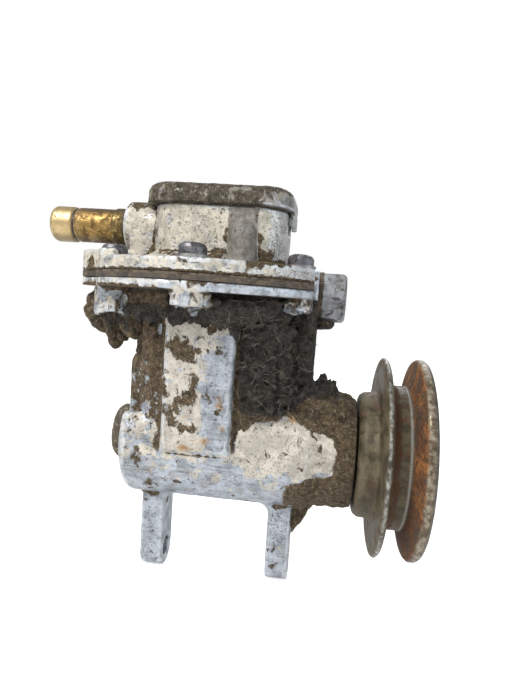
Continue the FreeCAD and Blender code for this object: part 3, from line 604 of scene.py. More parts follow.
# %% Weathered casting
def casting(name, bare, oxide, mud, grease, scratch=0.25):
    """Layers from the metal out: each layer's mask is a ragged patch whose
    amount is the number painted on the skin."""
    material, tree, shader, place = start(name)
    grain = use(tree, cast_grain, Position=place, Size=1100.0)
    flake = use(
        tree, ragged_patch, Position=place, Amount=painted(tree, "oxide"), Size=230.0, Ragged=1.9,
        Edge=0.05)
    dry = use(
        tree, ragged_patch, Position=stretch(tree, place, (1, 1, 0.8)),
        Amount=painted(tree, "mud"), Size=300.0, Ragged=1.6, Edge=0.035)
    wet = use(
        tree, ragged_patch, Position=place, Amount=painted(tree, "grease"), Size=420.0, Ragged=1.2,
        Edge=0.08)
    tone = smooth_step(tree, grain["Tone"], 0.36, 0.64)
    rib = painted(tree, "rib")
    speck = clouds(tree, place, 0.34, 0.66, 620.0, 7.0, 0.75)
    crumb = clouds(tree, place, 0.58, 0.66, 1100.0, 4.0, 0.65)
    cake = noise(tree, place, 420.0, 5.0, 0.65)
    fluff = noise(tree, stretch(tree, place, (1, 1, 0.35), (0.3, 0.5, 0)), 2600.0, 3.0, 0.7, 1.2)

    base = metal_and_skin(tree, place, grain, flake, tone, bare, oxide, scratch)
    base = rubbed_and_stained(tree, place, grain, tone, rib, base)
    base = lay(tree, base, dry["Rim"], 0.4, colour(0.085, 0.055, 0.028))
    base = blend_colour(tree, dry["Mask"], base, mud_colour(tree, place, speck, crumb, mud))
    base = blend_colour(
        tree, wet["Mask"], base, grease_colour(tree, place, cake, fluff, crumb, grease))
    tree.links.new(base, shader.inputs["Base Color"])

    open_metal = other_than(tree, calc(tree, "MAXIMUM", dry["Mask"], wet["Mask"]))
    shiny = times(tree, blend_value(tree, flake["Mask"], 0.75, 0.15), other_than(tree, rib))
    tree.links.new(times(tree, open_metal, shiny), shader.inputs["Metallic"])
    rough = blend_value(tree, flake["Mask"], blend_value(tree, grain["Tone"], 0.30, 0.56), 0.60)
    rough = blend_value(tree, rib, rough, 0.55)
    rough = blend_value(tree, dry["Mask"], rough, 0.93)
    rough = blend_value(tree, wet["Mask"], rough, blend_value(tree, fluff, 0.42, 0.95))
    tree.links.new(rough, shader.inputs["Roughness"])

    height = calc(
        tree, "SUBTRACT", times(tree, grain["Height"], 0.3), times(tree, grain["Pits"], 0.3))
    for mask, rise in (
        (flake["Mask"], 0.15), (dry["Mask"], blend_value(tree, speck, 0.35, 1.1)),
        (wet["Mask"], blend_value(tree, cake, 0.2, 2.2)),
        (wet["Mask"], blend_value(tree, fluff, 0.0, 0.9))):
        height = plus(tree, height, times(tree, mask, rise))
    bump(tree, shader, height, 0.00055, 0.9)
    return material


body_casting = casting(
    "body_casting", (0.52, 0.57, 0.64), (0.66, 0.62, 0.545), (0.125, 0.090, 0.052),
    (0.021, 0.018, 0.015))
head_casting = casting(
    "head_casting", (0.60, 0.60, 0.58), (0.66, 0.62, 0.53), (0.12, 0.085, 0.045),
    (0.030, 0.024, 0.016), 0.95)
lid_casting = casting(
    "lid_casting", (0.34, 0.34, 0.33), (0.30, 0.28, 0.235), (0.105, 0.088, 0.064),
    (0.035, 0.030, 0.024), 0.35)
print("castings:", body_casting.name, head_casting.name, lid_casting.name)

# %% [markdown]
# The crankcase skin is where most of the dirt sits: black grease and fluff
# under the flange and down the right side, dry mud on the bearing housing, and
# a machined pad in front whose oxide has flaked off in places. Where a layer
# lies is easiest to say with soft spots: a centre, a size and a strength each.

# %% Soft spots
def spots(a, b, rows):
    """The strongest of some bells: each row is a centre (a, b), a half width in
    a and in b, and a strength; a bell is strength * exp(-distance^2)."""
    total = np.zeros(len(a))
    for ca, cb, wide, tall, strength in rows:
        bell = strength * np.exp(-((a - ca) / wide) ** 2 - ((b - cb) / tall) ** 2)
        total = np.where(np.abs(bell) > np.abs(total), bell, total)
    return total


def strongest(*layers):
    """The largest of several numbers at each point."""
    return np.maximum.reduce(np.broadcast_arrays(*layers))


# %% [markdown]
# Points inside the bores would foul the parts that turn there if they moved, so
# they are named first and held still. The net's cells are 0.86 mm wide.

# %% Crankcase skin
case = skin("crankcase", "crankcase_skin", 0.00086)
where, facing = points_of(case)
x, y, z = where.T
hollow = hollowness(case, where, facing)
axis_radius = np.hypot(y, z - SHAFT_HEIGHT)
head_radius = np.hypot(x - HEAD_MIDDLE, y)
shaft_bore = ((axis_radius < 21.4) & (x > -26.5) | (axis_radius < 14.3) & (x > -33.8)
              | (axis_radius < 9.6) | (axis_radius < 19.5) & (x > 30))
column_bore = (x > -26) & (x < 16) & (np.abs(y) < 17.6) & (z > 45) & (z < 107)
bowl = (head_radius < 31) & (z > 103.5) & (z < 113)
pivot_bore = np.hypot(y, z) < 4.8
outside = 1.0 - (shaft_bore | column_bore | bowl | pivot_bore)
print("crankcase skin: outside share", round(float(outside.mean()), 2))

# %% [markdown]
# Four amounts go on the skin's points: grease, mud, oxide and rust. Each is the
# strongest of several layers, such as the fillets, the back or one stain, and
# painting them on points lets the same numbers colour the dirt and raise it.

# %% Dirt on the crankcase
big = layered_noise(where, 9.0, 3)
small = layered_noise(where, 2.6, 7)
front = ramp(-y, 2, 10)
right_side = ramp(x, 8, 12)
screw_at = np.radians(np.arange(30, 390, 60))
near_boss = np.min(
    [
        np.hypot(x - HEAD_MIDDLE - SCREW_CIRCLE * np.cos(a), y - SCREW_CIRCLE * np.sin(a))
        for a in screw_at],
    axis=0)
on_boss = (near_boss < 7.4) & (z > 100)
grease_foot = np.interp(x, [-20, -14, 4, 8, 9.5, 26, 34], [106, 104.5, 97, 91, 66, 65, 72])
grease = front * (0.5 + (z - grease_foot) / 6) * ramp(x, -18, -13) * ramp(112.0 - z, 1.5, 3.0)
grease = strongest(grease,
    0.75 * ramp(-facing[:, 2], 0.3, 0.8) * ramp(z, 92, 100) * ramp(111 - z, 0, 1),
    0.62 * ramp(y, 5, 14) * ramp(z, 76, 92) * ramp(109 - z, 0, 2),
    0.70 * ramp(x, 14, 22) * ramp(z, 66, 76) * ramp(109 - z, 0, 2),
    front * spots(x, z, [(8.4, 56, 1.6, 9, 0.62), (10, 39, 6, 3.5, 0.40)]) * (y > -25))
mud = 0.26 + 0.55 * ramp(hollow, 0.05, 0.6)
light_end = np.interp(
    z, [20, 36, 38, 43, 45, 53, 58, 61, 63.5], [27, 27.5, 29, 37, 45, 47, 44, 38, 30])
light_top = np.interp(x, [8, 9, 18, 27, 40, 48], [57, 58, 62, 64, 62.5, 55])
housing_mud = np.maximum(
    0.5 + (x - light_end - 1.5 * big) / 5, 0.5 + (z - light_top - 1.5 * big) / 4 * right_side)
mud = strongest(mud,
    np.where((z < 80) & (z > 29) & (x > 8.4), housing_mud, 0),
    0.85 * ramp(y, -4, 4) * ramp(x, 26, 31) * (z < 75) * (z > 29),
    0.80 * ramp(x, 31.6, 32.2) * (z < 29),
    0.84 * ramp(-9 - x, 0, 4) * ramp(z, 95, 98) * ramp(111 - z, 0, 1),
    0.82 * ramp(-21.5 - x, 0, 4) * ramp(z, 78, 84) * ramp(111.5 - z, 0, 1),
    0.62 * ramp(-20.2 - x, 0, 1.5) * front * ramp(z, 98, 90) * ramp(z, 56, 70) * (y > -25),
    0.48 * ramp(y, 6, 16))
FRONT_STAINS = [
    (-24, 66, 3, 9, 0.72), (-21, 53, 2.2, 6, 0.68), (-29, 47, 3, 8, 0.60), (-33, 56, 2.5, 5, 0.52),
    (-25, 33, 5, 3.5, 0.62), (31.5, 38, 4, 4, 0.85), (-27.5, -2, 4, 4.5, 0.53),
    (-27.5, 17, 2.5, 2.5, 0.45), (25, -2, 4, 7, 0.55), (-14, 36, 6, 3, 0.44)]
mud = np.maximum(mud, front * (y > -25.4) * spots(x, z, FRONT_STAINS))
mud = np.where(on_boss, 0.36 + 0.30 * ramp(hollow, 0.05, 0.5), mud)
grease = np.where(
    on_boss, np.minimum(grease, 0.30 + 0.25 * ramp(103.5 - z, 0, 2) + 0.16 * ramp(x, -2, 4)),
    grease)
on_pad = (y < -24.5) & (y > -26.6) & (z > 50) & (z < 102.6) & (x < 8.6) & (x > -20.6)
PAD_STAINS = [
    (-12.5, 88, 7.5, 4.5, 0.55), (-1, 88.5, 5, 2.2, 0.36), (-8, 77.5, 2.4, 7, 0.45),
    (-10, 70, 7.5, 3.5, 0.50), (-16, 64.5, 4.5, 5, 0.42), (-19.5, 74, 1.8, 6, 0.50),
    (-2.3, 96.6, 3, 2, 0.55), (-8, 59, 5, 2.5, 0.36), (2, 66, 1.4, 1.4, 0.36)]
pad_mud = 0.20 + spots(x, z, PAD_STAINS)
mud = np.where(on_pad, pad_mud, mud)
mud = np.where((z < 46) & (z > 6) & (x < 24) & (x > -24), np.minimum(mud, 0.40), mud)
oxide = np.full(len(x), 0.50)
blue_from = np.interp(z, [50, 60, 75, 85, 95, 102], [0, -3, -5, -3, 3, 5])
oxide = np.where(on_pad, 0.68 - 0.50 * ramp(x - blue_from, -3, 3), oxide)
oxide = np.where(z < 46, 0.34 + 0.18 * ramp(x, 10, 20) * ramp(z, 36, 44), oxide)
oxide = np.where(z < 34, 0.22, oxide)
oxide = np.where((z > 46) & (z < 66) & (x > 9) & (x < 48), 0.74, oxide)
oxide = np.where(z > FLANGE_FLOOR, 0.62 - 0.45 * ramp(x, -6, 8), oxide)
FLANGE_STAINS = [(-50, 111, 8, 3, 0.62), (-22, 110, 8, 1.2, 0.48), (-2, 113, 7, 1.6, 0.60)]
mud = np.where(z > 109.6, np.maximum(mud, spots(x, z, FLANGE_STAINS)), mud)
RUST_STAINS = [
    (30.6, 65, 3.2, 3.0, 0.78), (2.5, 69, 2.4, 5, 0.60), (-2.6, 54.5, 5, 2.4, 0.58),
    (-10, 51, 5, 2.0, 0.60), (4, 60, 2.5, 3, 0.48), (-10, 63, 4, 3, 0.42), (-24, 40, 3, 3, 0.40)]
rust = front * spots(x, z, RUST_STAINS)
grease = np.where(rust > 0.55, 0.2, grease)
grease = np.where(z > 109.8, np.minimum(grease, 0.2 + 0.3 * ramp(hollow, 0.1, 0.4)), grease)
for label, amount in (
    ("grease", grease), ("mud", mud), ("oxide", oxide), ("rust", rust),
    ("edge", ramp(-hollow, 0.05, 0.55))):
    paint(case, label, amount)
print(
    "share under grease and mud:", round(float((grease > 0.5).mean()), 2),
    round(float((mud > 0.5).mean()), 2))

# %% [markdown]
# Caked dirt has body, up to about 3 mm. The points move outwards along their
# normals where it is thick, and stay still where another piece bears on them.

# %% Thickness of the dirt
thick_grease = 2.2 * ramp(grease + 0.25 * big, 0.5, 0.9) * (0.55 + 0.6 * small)
thick_mud = 0.9 * ramp(mud + 0.2 * big, 0.5, 0.85) * (0.5 + 0.5 * small)
rough_skin = 0.10 * layered_noise(where, 3.0, 11)
lift = outside * (np.clip(thick_grease + thick_mud, 0, 3.2) + rough_skin)
lift *= np.where(on_pad, 0.35, 1.0)
lift *= ramp(54.0 - x, 0.2, 3.0) * ramp(np.abs(np.abs(x) - 22), 0, 0.5) * ramp(109.6 - z, -0.1, 0.8)
lift *= ramp(x + 37.2, 0.0, 1.5) + (z > 60)
lift *= 1 - 0.9 * ramp(facing[:, 0], 0.2, 0.7) * (x > 33) * (z > 70)
lift *= 1 - (head_radius > 34) * (z > FLANGE_FLOOR)
move_points(case, where + facing * lift[:, None])
case.data.materials.append(body_casting)
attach(case, "casing")
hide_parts("crankcase")
print("thickest dirt, mm:", round(float(lift.max()), 2))
grease_points = np.flatnonzero(
    (grease > 0.62) & (outside > 0) & (facing[:, 1] < 0.3) & (z > 66) & (z < 108) & (x > 2)
    & (x < 31))
fibre_roots = (where + facing * lift[:, None])[grease_points]
fibre_facing = facing[grease_points]

# %% [markdown]
# Oily fluff hangs from the grease: loose threads a tenth of a millimetre thick.
# A thread is a short curve that leaves the surface, bows outwards and comes
# back to it, with a square tube carried along it and closed at both ends.

# %% Threads in the grease
THREADS, STEPS, SIDES = 260, 9, 4
pick = np.random.default_rng(71)


def thread_tubes(roots, outward, length, bow, thickness):
    """Point at share t of a thread: root + length t along a random tangent
    + bow sin(pi t) outwards - sag t^2 down; a square of that thickness round
    it shrinks to nothing at both ends."""
    count = len(roots)
    wild = pick.normal(size=(count, 3))
    tangent = wild - outward * np.sum(wild * outward, axis=1)[:, None]
    tangent /= np.linalg.norm(tangent, axis=1)[:, None]
    across = np.cross(outward, tangent)
    t = np.linspace(0, 1, STEPS)[None, :, None]
    wave = pick.uniform(-1, 1, (count, 1, 1)) * np.sin(2 * np.pi * t)
    line = roots[:, None, :] + tangent[:, None, :] * length[:, None, None] * t
    line = line + outward[:, None, :] * (bow[:, None, None] * np.sin(np.pi * t) - 0.25)
    line = line + across[:, None, :] * wave * 0.25 * length[:, None, None]
    line[:, :, 2] -= 0.12 * length[:, None] * t[:, :, 0] ** 2
    turn = np.arange(SIDES) * 2 * np.pi / SIDES
    girth = thickness * np.sin(np.pi * np.linspace(0.02, 0.98, STEPS)) ** 0.3
    ring = (
        np.cos(turn)[:, None] * outward[:, None, None, :] + np.sin(turn)[:, None]
        * across[:, None, None, :])
    return line[:, :, None, :] + ring * girth[None, :, None, None]


chosen = pick.choice(len(fibre_roots), THREADS, replace=False)
tubes = thread_tubes(
    fibre_roots[chosen], fibre_facing[chosen], pick.uniform(3, 9, THREADS),
    pick.uniform(0.3, 1.6, THREADS), 0.09)
index = np.arange(THREADS * STEPS * SIDES).reshape(THREADS, STEPS, SIDES)
near_side, far_side = index[:, :-1], index[:, 1:]
walls = np.stack(
    [near_side, np.roll(near_side, -1, 2), np.roll(far_side, -1, 2), far_side], axis=3
).reshape(-1, 4)
ends = np.concatenate([index[:, 0, ::-1], index[:, -1]])
thread_mesh = bpy.data.meshes.new("oily_threads")
thread_mesh.from_pydata(
    (tubes.reshape(-1, 3) * MM).tolist(), [], np.concatenate([walls, ends]).tolist())
face_outwards(thread_mesh)
threads = new_piece("oily_threads", thread_mesh)
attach(threads, "casing")
print("threads:", THREADS, "faces", len(thread_mesh.polygons))

# %% [markdown]
# Under the flange's ear and beside the filler plug the dirt has built up into
# hanging lumps. A lump is a ball whose radius changes with direction, so one
# grid of two angles makes it; its two poles are single points.

# %% Hanging lumps of dirt
def dirt_lump(centre, half, seed, hang, rough=0.35, around=72, down=48):
    """Point at angles a, b: centre + half * direction * (1 + rough * noise),
    and hang stretches the lower half downwards."""
    b = np.linspace(0, np.pi, down + 1)[1:-1]
    a = np.linspace(0, 2 * np.pi, around, endpoint=False)
    way = np.stack(
        [
            np.sin(b)[:, None] * np.cos(a), np.sin(b)[:, None] * np.sin(a),
            np.cos(b)[:, None] + 0 * a],
        axis=2)
    way = np.concatenate([way.reshape(-1, 3), [[0, 0, 1], [0, 0, -1]]])
    unevenness = layered_noise(way * np.array(half) + np.array(centre), 6.0, seed, 4)
    out = way * np.array(half) * (1 + rough * unevenness)[:, None]
    out[:, 2] -= hang * ramp(-way[:, 2], 0.1, 1.0)
    rows, top, bottom = down - 1, (down - 1) * around, (down - 1) * around + 1
    i, j = np.meshgrid(np.arange(rows - 1), np.arange(around), indexing="ij")
    j2 = (j + 1) % around
    quads = np.stack(
        [i * around + j, (i + 1) * around + j, (i + 1) * around + j2, i * around + j2], axis=2
    ).reshape(-1, 4)
    k = np.arange(around)
    k2 = (k + 1) % around
    last = (rows - 1) * around
    caps = np.concatenate(
        [np.stack([k, k2, 0 * k + top], 1), np.stack([last + k2, last + k, 0 * k + bottom], 1)])
    return out + np.array(centre), quads.tolist() + caps.tolist()


LUMPS = {
    "ear_dirt_lump": [
        ((-50.5, -9, 103), (6.5, 8, 7), 81, 3.0), ((-44, -11, 98), (6.5, 7, 6), 82, 4.0),
        ((-45, -10, 91.5), (3.2, 3.5, 4.0), 83, 2.5), ((-52.5, -4, 108), (5, 9, 4), 84, 0.0),
        ((-36, -15, 101), (7, 6, 8), 87, 2.0), ((-50, 6, 104), (6, 8, 6), 88, 2.0),
        ((-42, 9, 99), (6.5, 7, 6), 89, 2.5)],
    "plug_dirt_lump": [
        ((32.5, -10, 101), (3.6, 6, 6), 85, 1.0), ((32.0, -9, 84), (3.0, 5, 4), 86, 1.0),
        ((37.5, -3, 101.5), (4.5, 6, 2.4), 90, 0.6), ((22, -19, 104), (6, 3.2, 4), 91, 1.0),
        ((6, -24, 104), (5, 2.4, 3.6), 92, 1.2)],
    }
for name, rows in LUMPS.items():
    made_points, made_faces, filled = [], [], 0
    for centre, half, seed, hang in rows:
        points, faces = dirt_lump(centre, half, seed, hang)
        made_points.append(points)
        made_faces += [[n + filled for n in face] for face in faces]
        filled += len(points)
    lump_mesh = bpy.data.meshes.new(name)
    lump_mesh.from_pydata((np.concatenate(made_points) * MM).tolist(), [], made_faces)
    lump_mesh.shade_smooth()
    lump = new_piece(name, lump_mesh)
    at, _ = points_of(lump)
    paint(
        lump, "grease",
        (0.42 if name.startswith("ear") else 0.66) + 0.12 * layered_noise(at, 5.0, 95))
    for label, amount in (("mud", 0.95), ("oxide", 0.0), ("rust", 0.0), ("edge", 0.0)):
        paint(lump, label, np.full(len(at), amount))
    lump_mesh.materials.append(body_casting)
    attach(lump, "casing")
    print(name, "faces", len(lump_mesh.polygons))

# %% [markdown]
# The threads are soaked in oil, so they are dark, with a paler dry end here
# and there. A broad noise is enough on something this thin.

# %% Thread finish
material, tree, shader, place = start("oily_fibre_thread")
shade = noise(tree, place, 300.0, 3.0, 0.6)
tree.links.new(
    blend_colour(
        tree, smooth_step(tree, shade, 0.35, 0.65), colour(0.05, 0.04, 0.03),
        colour(0.26, 0.23, 0.19)),
    shader.inputs["Base Color"])
shader.inputs["Roughness"].default_value = 0.8
threads.data.materials.append(material)

# %% [markdown]
# The valve head is cleaner: its sides were scraped with something hard, so
# fine lines run along it, and brown dirt is left only in the fillets, on the
# upward ledge of the flange and round the screws.

# %% Valve head skin
head = skin("valve_head", "valve_head_skin", 0.0007)
where, facing = points_of(head)
x, y, z = where.T
hollow = hollowness(head, where, facing)
big = layered_noise(where, 8.0, 21)
small = layered_noise(where, 2.4, 23)
covered = (
    (z < 121.8) & (np.hypot(x - HEAD_MIDDLE, y) < 24.6) | (z > 121.9) & (np.abs(y) < 17.7)
    & (x > -26.3) & (x < 18.3) | (z > 142.2))
covered |= (np.hypot(y, z - TAIL_HEIGHT) < 7.3) & (x < -20) | (z < 116.1)
ledge = ramp(facing[:, 2], 0.6, 0.9) * ramp(z, 120.5, 121) * (z < 126)
front = ramp(-y, 2, 10)
mud = 0.18 + 0.62 * ramp(hollow, 0.10, 0.6) + 0.22 * ledge
mud = np.maximum(
    mud,
    front * spots(
        x, z,
        [
            (14, 123, 5, 6, 0.85), (13, 130, 3, 5, 0.55), (-1, 124, 4.5, 4, 0.68),
            (20, 122, 8, 2.5, 0.9), (-20, 123.5, 8, 1.8, 0.60), (-10, 123.5, 6, 1.6, 0.55),
            (0.5, 131, 2.5, 5, 0.44), (-52, 119, 7, 3.5, 0.58), (-28.5, 132, 2.0, 6, 0.52),
            (-10, 119.5, 9, 1.6, 0.46)]))
mud = strongest(mud,
    0.66 * ramp(facing[:, 2], 0.3, 0.8) * (x < -28) * (z > 130),
    0.42 * ramp(y, 4, 16))
grease = (
    0.14 + 0.5 * ramp(hollow, 0.35, 0.9) + 0.35 * (z > 121.3) * front
    * spots(x, z, [(18, 122.5, 4, 1.5, 1.0)]))
rib = (np.abs(x - 6.8) < 6.2) & (y < -21.2) & (z > 121.5)
mud = np.where(rib, 0.22, mud)
oxide = np.where(z < 121.2, 0.56 - 0.22 * ramp(x, 0, 20), 0.66 - 0.40 * ramp(x, 14, 19))
oxide = np.where(rib, 0.30, oxide)
seam = ramp(117.3 - z, 0, 1.0) * (np.hypot(x - HEAD_MIDDLE, y) > 31)
mud = np.maximum(mud, 0.78 * seam)
for label, amount in (
    ("grease", grease), ("mud", mud), ("oxide", oxide),
    ("rust", 0.3 * front * (mud > 0.6) * (z > 121.5)), ("rib", rib.astype(float)),
    ("edge", ramp(-hollow, 0.05, 0.5))):
    paint(head, label, amount)
lift = np.where(
    covered, 0.0,
    0.07 * layered_noise(where, 2.8, 25) + 0.7 * ramp(
        mud + 0.2 * big, 0.55, 0.95) * (0.5 + 0.5 * small))
lift *= ramp(120.9 - z, -0.1, 0.6) * 0.15 + (z > 121)
move_points(head, where + facing * lift[:, None])
head.data.materials.append(head_casting)
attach(head, "casing")
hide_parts("valve_head")

# %% [markdown]
# The lid is a thin pressing under a film of dry mud. Its right end was wiped
# by hands at the air intake, so bare metal shows there.

# %% Lid skin
lid = skin("head_lid", "head_lid_skin", 0.00062)
where, facing = points_of(lid)
x, y, z = where.T
hollow = hollowness(lid, where, facing)
bare_end = ramp(x, 12, 22) * ramp(-facing[:, 2], -0.8, 0.1)
paint(lid, "grease", 0.20 + 0.16 * ramp(facing[:, 2], 0.2, 0.9))
paint(
    lid, "mud",
    0.58 + 0.10 * ramp(facing[:, 2], 0.1, 0.8) - 0.30 * bare_end + spots(
        x, z, [(-26, 149, 5, 2, -0.2), (5, 150, 6, 2, -0.14)]))
paint(lid, "oxide", 0.62 - 0.4 * bare_end)
paint(lid, "rust", np.zeros(len(x)))
paint(lid, "edge", ramp(-hollow, 0.05, 0.5) * ramp(x, 0, 20))
free = ramp(z, 143.2, 144.5)
near_screw = np.hypot(np.abs(x + 4) - 19.5, np.abs(y) - 15)
lift = (
    free * ramp(near_screw, 5.2, 6.5)
    * (0.16 * layered_noise(where, 5.0, 31) + 0.10 * layered_noise(where, 1.6, 33) - 0.2))
move_points(lid, where + facing * lift[:, None])
lid.data.materials.append(lid_casting)
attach(lid, "casing")
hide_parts("head_lid")
print("head and lid skins done")

# %% [markdown]
# The pulley halves and the hose tail are turned parts, so each is a profile
# carried round an axis, with slight dents at the rim from years of use.

# %% Pulley finish
def pulley_metal():
    """Bands by radius and by X: olive oily steel on the hub and rear flange,
    rust on the outer half's cone and at the foot of the groove, rubbed rims."""
    material, tree, shader, place = start("pulley_metal")
    parts = tree.nodes.new("ShaderNodeSeparateXYZ")
    tree.links.new(place, parts.inputs[0])
    rise = calc(tree, "SUBTRACT", parts.outputs["Z"], SHAFT_HEIGHT * MM)
    radius = calc(tree, "SQRT", plus(tree, times(tree, rise, rise),
                                     times(tree, parts.outputs["Y"], parts.outputs["Y"])))
    grain = use(tree, cast_grain, Position=place, Size=1300.0)
    outer = smooth_step(tree, parts.outputs["X"], 0.0738, 0.0742)
    cone = times(
        tree, outer, other_than(tree, smooth_step(tree, parts.outputs["X"], 0.0768, 0.0778)))
    foot = times(tree, smooth_step(tree, parts.outputs["X"], 0.0650, 0.0662),
                other_than(tree, smooth_step(tree, parts.outputs["X"], 0.0690, 0.0712)))
    rust_amount = calc(
        tree, "MAXIMUM", blend_value(tree, cone, 0.34, 0.66), times(tree, foot, 0.62))
    rust = use(
        tree, ragged_patch, Position=place, Amount=rust_amount, Size=260.0, Ragged=1.4, Edge=0.18)
    mottle = clouds(tree, place, 0.38, 0.62, 170.0, 6.0, 0.62)
    oil = blend_colour(tree, mottle, colour(0.055, 0.044, 0.024), colour(0.150, 0.128, 0.078))
    oil = lay(tree, oil, grain["Pits"], 0.7, colour(0.03, 0.024, 0.015))
    grit = clouds(tree, place, 0.32, 0.68, 700.0, 6.0, 0.7)
    rust_tone = blend_colour(tree, grit, colour(0.060, 0.026, 0.013), colour(0.20, 0.085, 0.035))
    fresh = times(tree, clouds(tree, place, 0.44, 0.60, 75.0, 3.0, 0.5), grit)
    rust_tone = blend_colour(tree, fresh, rust_tone, colour(0.40, 0.165, 0.045))
    burnt = clouds(tree, place, 0.50, 0.62, 110.0, 4.0, 0.6, 0.5)
    rust_tone = lay(tree, rust_tone, burnt, 0.8, colour(0.075, 0.060, 0.050))
    dim = blend_colour(tree, outer, colour(0.12, 0.058, 0.030), rust_tone)
    base = blend_colour(tree, rust["Mask"], oil, dim)
    ragged_radius = plus(tree, radius, times(tree, grain["Tone"], 0.0014))
    rim = smooth_step(tree, ragged_radius, 0.0397, 0.0405)
    face = times(
        tree, smooth_step(tree, parts.outputs["X"], 0.0774, 0.0780),
        smooth_step(tree, ragged_radius, 0.036, 0.039))
    rim = calc(tree, "MAXIMUM", rim, face)
    rim_tone = blend_colour(tree, outer, colour(0.40, 0.40, 0.38), colour(0.33, 0.29, 0.22))
    dull = blend_colour(tree, outer, colour(0.09, 0.082, 0.065), colour(0.12, 0.085, 0.055))
    rim_tone = blend_colour(tree, clouds(tree, place, 0.40, 0.58, 420.0, 6.0, 0.7), rim_tone, dull)
    lip = times(tree, smooth_step(tree, parts.outputs["X"], 0.0788, 0.0800), 0.8)
    rim_tone = blend_colour(tree, lip, rim_tone, colour(0.085, 0.080, 0.070))
    base = blend_colour(tree, rim, base, rim_tone)
    floor_line = times(
        tree, smooth_step(tree, parts.outputs["X"], 0.0726, 0.0733), other_than(tree, outer))
    base = lay(tree, base, floor_line, 0.8, colour(0.42, 0.41, 0.38))
    specks = clouds(tree, place, 0.58, 0.66, 2200.0, 3.0, 0.6)
    base = lay(tree, base, specks, 0.7, colour(0.04, 0.032, 0.022))
    tree.links.new(base, shader.inputs["Base Color"])
    tree.links.new(
        blend_value(tree, rust["Mask"], blend_value(tree, rim, 0.30, 0.75), 0.05),
        shader.inputs["Metallic"])
    tree.links.new(
        blend_value(
            tree, rust["Mask"],
            blend_value(tree, rim, blend_value(tree, mottle, 0.42, 0.62), 0.38), 0.88),
        shader.inputs["Roughness"])
    height = plus(tree, times(tree, grain["Height"], 0.45), times(tree, rust["Mask"], 0.5))
    height = plus(tree, height, times(tree, grit, times(tree, rust["Mask"], 0.3)))
    bump(tree, shader, height, 0.00026, 0.7)
    return material


pulley_finish = pulley_metal()

# %% [markdown]
# The pulley is two pressed halves that bolt together, so a belt can be fitted
# and set by moving one of them. Each outline is walked once round, as (X, radius).

# %% Pulley halves
hub_outline = [
    (55.2, 7.5), (55.2, 22.6), (55.8, 24.2), (57.4, 25.3), (60.4, 25.5), (62.3, 26.0),
    (62.9, 27.4), (62.9, 37.6), (63.4, 39.3), (64.3, 40.0), (65.3, 39.3), (65.7, 38.6),
    (67.6, 29.0), (74.0, 29.0), (74.0, 24.0), (64.5, 23.0), (64.5, 13.0), (74.0, 12.4), (74.0, 7.5)]
hub_half = turned("pulley_hub_half_turned", hub_outline, SHAFT_HEIGHT, "shaft", dent=0.12, seed=41)
hub_half.data.materials.append(pulley_finish)
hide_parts("pulley_hub_half")
outer_outline = [
    (74.0, 7.55), (74.0, 29.2), (76.4, 38.4), (76.4, 39.1), (77.4, 40.0), (79.6, 40.0),
    (80.7, 39.0), (80.7, 38.0), (77.0, 26.0), (77.0, 7.55)]
outer_half = turned(
    "pulley_outer_half_turned", outer_outline, SHAFT_HEIGHT, "shaft", dent=0.14, seed=43)
outer_half.data.materials.append(pulley_finish)
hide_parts("pulley_outer_half")

# %% [markdown]
# The brass hose tail is polished where a hose has rubbed its bead and browned
# towards the head, with dark speckles. Painted shade darkens its barb groove,
# the ring where it enters and its underside.

# %% Brass hose tail
def tail_brass():
    """Bright brass at the bead, brown towards the head, with painted shade
    in the groove, at the root and underneath.
    """
    material, tree, shader, place = start("tail_brass")
    parts = tree.nodes.new("ShaderNodeSeparateXYZ")
    tree.links.new(place, parts.inputs[0])
    grain = use(tree, cast_grain, Position=place, Size=1500.0)
    along = smooth_step(tree, parts.outputs["X"], -0.0712, -0.062)
    stain = use(
        tree, ragged_patch, Position=place, Amount=blend_value(tree, along, 0.28, 0.50),
        Size=330.0, Ragged=1.4, Edge=0.14)
    bright = blend_colour(tree, grain["Tone"], colour(0.46, 0.335, 0.155), colour(0.70, 0.55, 0.31))
    brown = blend_colour(tree, grain["Tone"], colour(0.24, 0.145, 0.045), colour(0.52, 0.35, 0.13))
    base = blend_colour(tree, along, bright, brown)
    collar = smooth_step(tree, parts.outputs["X"], -0.0508, -0.0500)
    olive = blend_colour(
        tree, clouds(tree, place, 0.38, 0.62, 900.0, 5.0, 0.7), colour(0.07, 0.055, 0.025),
        colour(0.42, 0.32, 0.13))
    base = lay(tree, base, collar, 0.85, olive)
    top = smooth_step(tree, parts.outputs["Z"], 0.1385, 0.1418)
    base = blend_colour(
        tree, times(tree, top, times(tree, along, 0.75)), base, colour(0.14, 0.115, 0.085))
    base = lay(tree, base, stain["Mask"], 0.75, colour(0.10, 0.065, 0.03))
    # Painted shade: the barb groove, the root where the tail enters the head and the tube's
    # underside are coloured near black and made less metallic.
    groove = times(tree, smooth_step(tree, parts.outputs["X"], -0.0677, -0.0673),
                  other_than(tree, smooth_step(tree, parts.outputs["X"], -0.0667, -0.0663)))
    root = smooth_step(tree, parts.outputs["X"], -0.0462, -0.0452)
    underside_shade = smooth_step(tree, parts.outputs["Z"], 0.1318, 0.1286)
    painted_shade = calc(tree, "MAXIMUM", calc(tree, "MAXIMUM", groove, root), times(tree, underside_shade, 0.6))
    base = blend_colour(tree, painted_shade, base, colour(0.035, 0.026, 0.016))
    pits = times(tree, grain["Pits"], blend_value(tree, along, 0.2, 0.8))
    base = blend_colour(tree, pits, base, colour(0.05, 0.035, 0.02))
    tree.links.new(base, shader.inputs["Base Color"])
    tree.links.new(blend_value(tree, painted_shade, 0.85, 0.1), shader.inputs["Metallic"])
    tree.links.new(
        blend_value(tree, stain["Mask"], blend_value(tree, grain["Tone"], 0.26, 0.48), 0.7),
        shader.inputs["Roughness"])
    bump(tree, shader, calc(tree, "SUBTRACT", grain["Height"], grain["Pits"]), 0.00012, 0.7)
    return material


